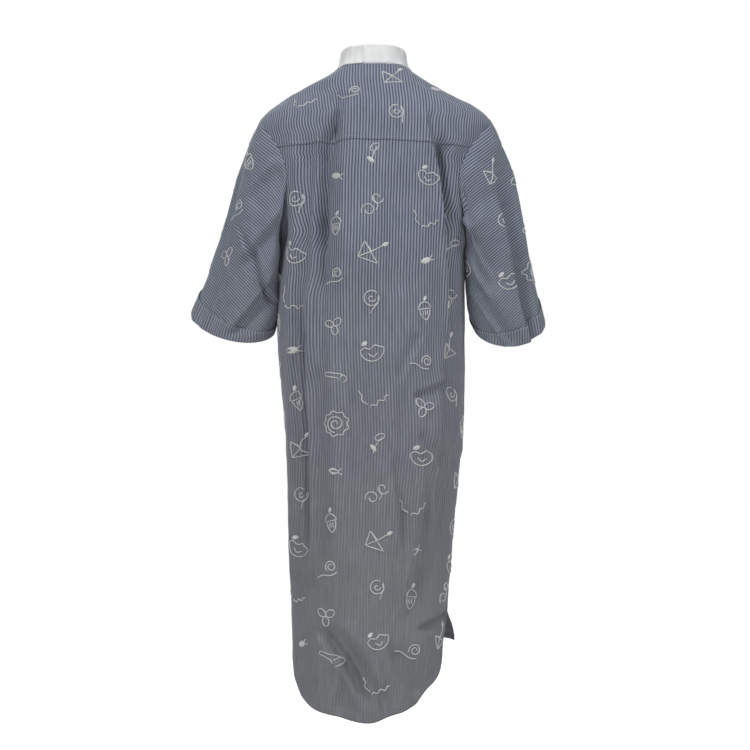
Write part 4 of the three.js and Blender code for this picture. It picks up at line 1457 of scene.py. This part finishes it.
class GOWN_OT_motifs(bpy.types.Operator):
    """Raised line motifs in white thread over every panel"""

    bl_idname = "gown.motifs"
    bl_label = "Raised motifs"

    def execute(self, context):
        PLACED.clear()
        back = scatter("motifs_back", CLOTHS["back"], -8 * MM, 0.026, near_armhole, 1)
        blend_panel(back)
        front = scatter("motifs_front", CLOTHS["front"], 0.0, 0.044, near_armhole_or_placket, 6)
        blend_panel(front)
        yoke = scatter("motifs_yoke", CLOTHS["yoke"], -36 * MM, 0.017, near_armhole, 3)
        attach(yoke, "gown_body")
        for name, first in (("left", 4), ("right", 9)):
            piece_name = "motifs_%s_sleeve" % name
            piece = scatter(piece_name, CLOTHS[name], 20 * MM, 0.020, under_cuff, first, 0.6)
            blend_sleeve(piece)
        return {"FINISHED"}


# ---- Seams, stitching and tacks ----
def sew(name, paths, body=None, material=None):
    """One piece of topstitching along some paths."""
    parts = [part for path in paths for part in stitch_parts(path)]
    return thread_piece(name, parts, material or sewing_thread(), body=body)


class GOWN_OT_stitching(bpy.types.Operator):
    """Topstitching at the yoke, hems, armholes, cuffs, collar and placket, and the bar tacks at the vents"""

    bl_idname = "gown.stitching"
    bl_label = "Stitching"

    def execute(self, context):
        yoke, back, front, placket = (CLOTHS[name] for name in ("yoke", "back", "front", "placket"))
        lift, hem_lift, whole = 0.05 * MM, 0.7 * MM, slice(None)
        path = yoke.raised(-3, slice(20, -20), lift)
        sew("yoke_topstitch", [[spot for spot in path if self.is_clear(spot[0])]], "gown_body")
        rows = [CLOTHS["collar"].raised(row, slice(4, -4), 0.1 * MM) for row in (2, -2)]
        sew("collar_topstitch", rows, "gown_body", white_thread())
        blend_panel(sew("back_hem_stitch", [back.raised(-5, slice(10, -10), hem_lift)]))
        blend_panel(sew("front_hem_stitch", [front.raised(-5, slice(2, -2), hem_lift)]))
        seam = (front.points[:, 0, 2] < UNDERARM - 6 * MM) & (front.points[:, 0, 2] > VENT_TOP + 4 * MM)
        edges = [front.raised(seam, column, lift) for column in (2, -3)]
        blend_panel(sew("side_seam_stitch", edges))
        edges = [placket.raised(whole, column, lift) for column in (2, -3)]
        sew("placket_topstitch", [*edges, placket.raised(-3, slice(2, -2), lift)], "gown_body")
        for name in SLEEVES:
            blend_sleeve(sew(name + "_armhole_stitch", [CLOTHS[name].raised(2, whole, lift)]))
            cuff = CLOTHS[name + "_cuff"].raised(1, whole, lift)
            sew(name + "_cuff_stitch", [cuff], name + "_sleeve_body")
        for name in SLEEVES:
            self.vent_tack(name, SLEEVES[name]["side"])
        return {"FINISHED"}

    def is_clear(self, point):
        return not near_armhole(point) or abs(point[0]) < 0.12

    def vent_tack(self, name, side):
        turns = side * math.pi / 2 + np.linspace(-0.045, 0.045, 9)
        strokes = []
        for k in range(4):
            z = VENT_TOP + (2.2 + 0.55 * k) * MM
            points = drape(*np.meshgrid(turns, [z, z - 1 * MM]))
            spots = zip(points[0], grid_normals(points)[0])
            strokes.append([(p + n * 0.6 * MM, n) for p, n in spots])
        parts = [bead_mesh(strokes, 0.6 * MM, 0.5 * MM)]
        thread_piece("vent_tack_thread_" + name, parts, white_thread(), ["vent_tack_" + name], "gown_body")


# ---- Stage ----
# The gown hangs well above the floor.
FLOOR_LEVEL = -1.62


class GOWN_OT_stage(bpy.types.Operator):
    """Pale floor, soft studio light and the camera behind the gown"""

    bl_idname = "gown.stage"
    bl_label = "Stage"

    def execute(self, context):
        own = settings()
        scene = context.scene
        scene.view_settings.view_transform = "Standard"
        self.camera(scene, own)
        self.floor()
        self.lights(scene)
        return {"FINISHED"}

    def camera(self, scene, own):
        data = bpy.data.cameras.new("camera")
        camera = bpy.data.objects.new("camera", data)
        scene.collection.objects.link(camera)
        # The view is this wide at a plane this far behind the middle of the gown.
        wide, plane = 1.320, 0.030
        middle_x, middle_z = -0.0035, -0.544
        data.sensor_width = 36.0
        data.lens = data.sensor_width * (own.camera_distance - plane) / wide
        camera.location = (middle_x, own.camera_distance, middle_z)
        camera.rotation_euler = (math.radians(90), 0, math.radians(180))
        scene.camera = camera

    def floor(self):
        bpy.ops.object.select_all(action="DESELECT")
        bpy.ops.mesh.primitive_plane_add(size=30, location=(0, 0, FLOOR_LEVEL))
        floor = bpy.context.object
        floor.name = "floor"
        look = Look("Pale floor", (0.9, 0.9, 0.9))
        # Far from the gown the floor looks as white as the backdrop, and lights nothing.
        away = look.add("VectorMath", {0: look.place()}, operation="LENGTH").outputs["Value"]
        inputs = {"Value": away, "From Min": 0.9, "From Max": 3.2, "To Max": 0.8}
        glow = look.add("MapRange", inputs, interpolation_type="SMOOTHSTEP").outputs["Result"]
        shown = look.math("MULTIPLY", glow, look.add("LightPath").outputs["Is Camera Ray"])
        emission = {"Emission Color": (1, 1, 1), "Emission Strength": shown}
        pale = look.surface({"Base Color": (0.92, 0.92, 0.92), "Roughness": 0.9, **emission})
        floor.data.materials.append(pale)

    def lights(self, scene):
        world = bpy.data.worlds.new("studio")
        scene.world = world
        world.use_nodes = True
        nodes, links = world.node_tree.nodes, world.node_tree.links
        background = nodes["Background"]
        background.inputs["Color"].default_value = (1.0, 1.0, 1.0, 1)
        # The backdrop looks white, and lights the room much less than it looks.
        seen = nodes.new("ShaderNodeLightPath").outputs["Is Camera Ray"]
        strength = nodes.new("ShaderNodeMapRange")
        strength.inputs["To Min"].default_value = 0.22
        strength.inputs["To Max"].default_value = 1.0
        links.new(seen, strength.inputs["Value"])
        links.new(strength.outputs["Result"], background.inputs["Strength"])
        self.area("key", (1.7, 2.2, 2.3), (0, 0, -0.3), 0.6, 74, (0.97, 0.98, 1.0))
        self.area("top", (-1.3, 1.5, 2.0), (0, 0, -0.2), 0.8, 34, (0.88, 0.93, 1.0))
        self.area("low", (-1.2, 2.4, -1.9), (0, 0, -1.05), 1.4, 56, (1.0, 0.96, 0.90))
        self.area("front", (1.0, -3.0, 1.6), (0, 0, -0.4), 2.0, 60, (1.0, 0.99, 0.97))

    def area(self, name, place, aim, size, power, colour):
        data = bpy.data.lights.new(name, "AREA")
        data.size = size
        data.energy = power
        data.color = colour
        light = bpy.data.objects.new(name, data)
        light.location = place
        light.rotation_euler = (Vector(aim) - Vector(place)).to_track_quat("-Z", "Y").to_euler()
        bpy.context.scene.collection.objects.link(light)


# ---- The add-on ----
def length(name, note, size):
    return bpy.props.FloatProperty(name=name, description=note, default=size, unit="LENGTH")


def factor(name, note, size):
    return bpy.props.FloatProperty(name=name, description=note, default=size, subtype="FACTOR")


def colour(name, note, mixed):
    return bpy.props.FloatVectorProperty(name=name, description=note, default=mixed, subtype="COLOR")


class GownSettings(bpy.types.PropertyGroup):
    """Sizes and colours of the gown"""

    cloth_thickness: length("Cloth thickness", "Thickness of one layer of cloth", 0.0006)
    stripe_pitch: length("Stripe pitch", "From one stripe to the next", 0.0052)
    hem_allowance: length("Hem allowance", "Height of the turned hem", 0.014)
    fold_strength: factor("Fold strength", "How deep the folds are", 1.0)
    motif_across: length("Motif spacing across", "From one column of motifs to the next", 0.081)
    motif_down: length("Motif spacing down", "From one motif to the next in a column", 0.084)
    motif_scale: factor("Motif size", "Size of every motif", 1.52)
    motif_width: length("Motif line width", "Width of the raised line", 0.0020)
    motif_height: length("Motif line height", "Height of the raised line", 0.0016)
    camera_distance: length("Camera distance", "From the gown's middle to the camera", 3.2)
    stripe_dark: colour("Dark stripe", "Colour of the blue stripe", (0.082, 0.096, 0.136))
    stripe_light: colour("Light stripe", "Colour of the pale stripe", (0.258, 0.277, 0.330))
    stripe_blend: colour("Blended stripe", "Colour where stripes blur", (0.176, 0.178, 0.186))
    collar_white: colour("Collar white", "Colour of the stand collar", (0.75, 0.75, 0.735))
    motif_white: colour("Motif white", "Colour of the motif thread", (0.60, 0.61, 0.60))


STEPS = (
    GOWN_OT_stage,
    GOWN_OT_back_panel,
    GOWN_OT_front_panel,
    GOWN_OT_yoke,
    GOWN_OT_sleeves,
    GOWN_OT_cuffs,
    GOWN_OT_collar,
    GOWN_OT_placket,
    GOWN_OT_buttons,
    GOWN_OT_labels,
    GOWN_OT_motifs,
    GOWN_OT_stitching,
)


class GOWN_PT_panel(bpy.types.Panel):
    """Makes the gown piece by piece"""

    bl_idname = "GOWN_PT_panel"
    bl_label = "Patient gown"
    bl_space_type = "VIEW_3D"
    bl_region_type = "UI"
    bl_category = "Gown"

    def draw(self, context):
        column = self.layout.column()
        for name in GownSettings.__annotations__:
            column.prop(context.scene.gown, name)
        for step in STEPS:
            column.operator(step.bl_idname)


CLASSES = (GownSettings, *STEPS, GOWN_PT_panel)


def register():
    for cls in CLASSES:
        bpy.utils.register_class(cls)
    bpy.types.Scene.gown = bpy.props.PointerProperty(type=GownSettings)


def unregister():
    del bpy.types.Scene.gown
    for cls in reversed(CLASSES):
        bpy.utils.unregister_class(cls)


def main():
    register()
    for step in STEPS:
        area, name = step.bl_idname.split(".")
        getattr(getattr(bpy.ops, area), name)()


if __name__ == "__main__":
    main()
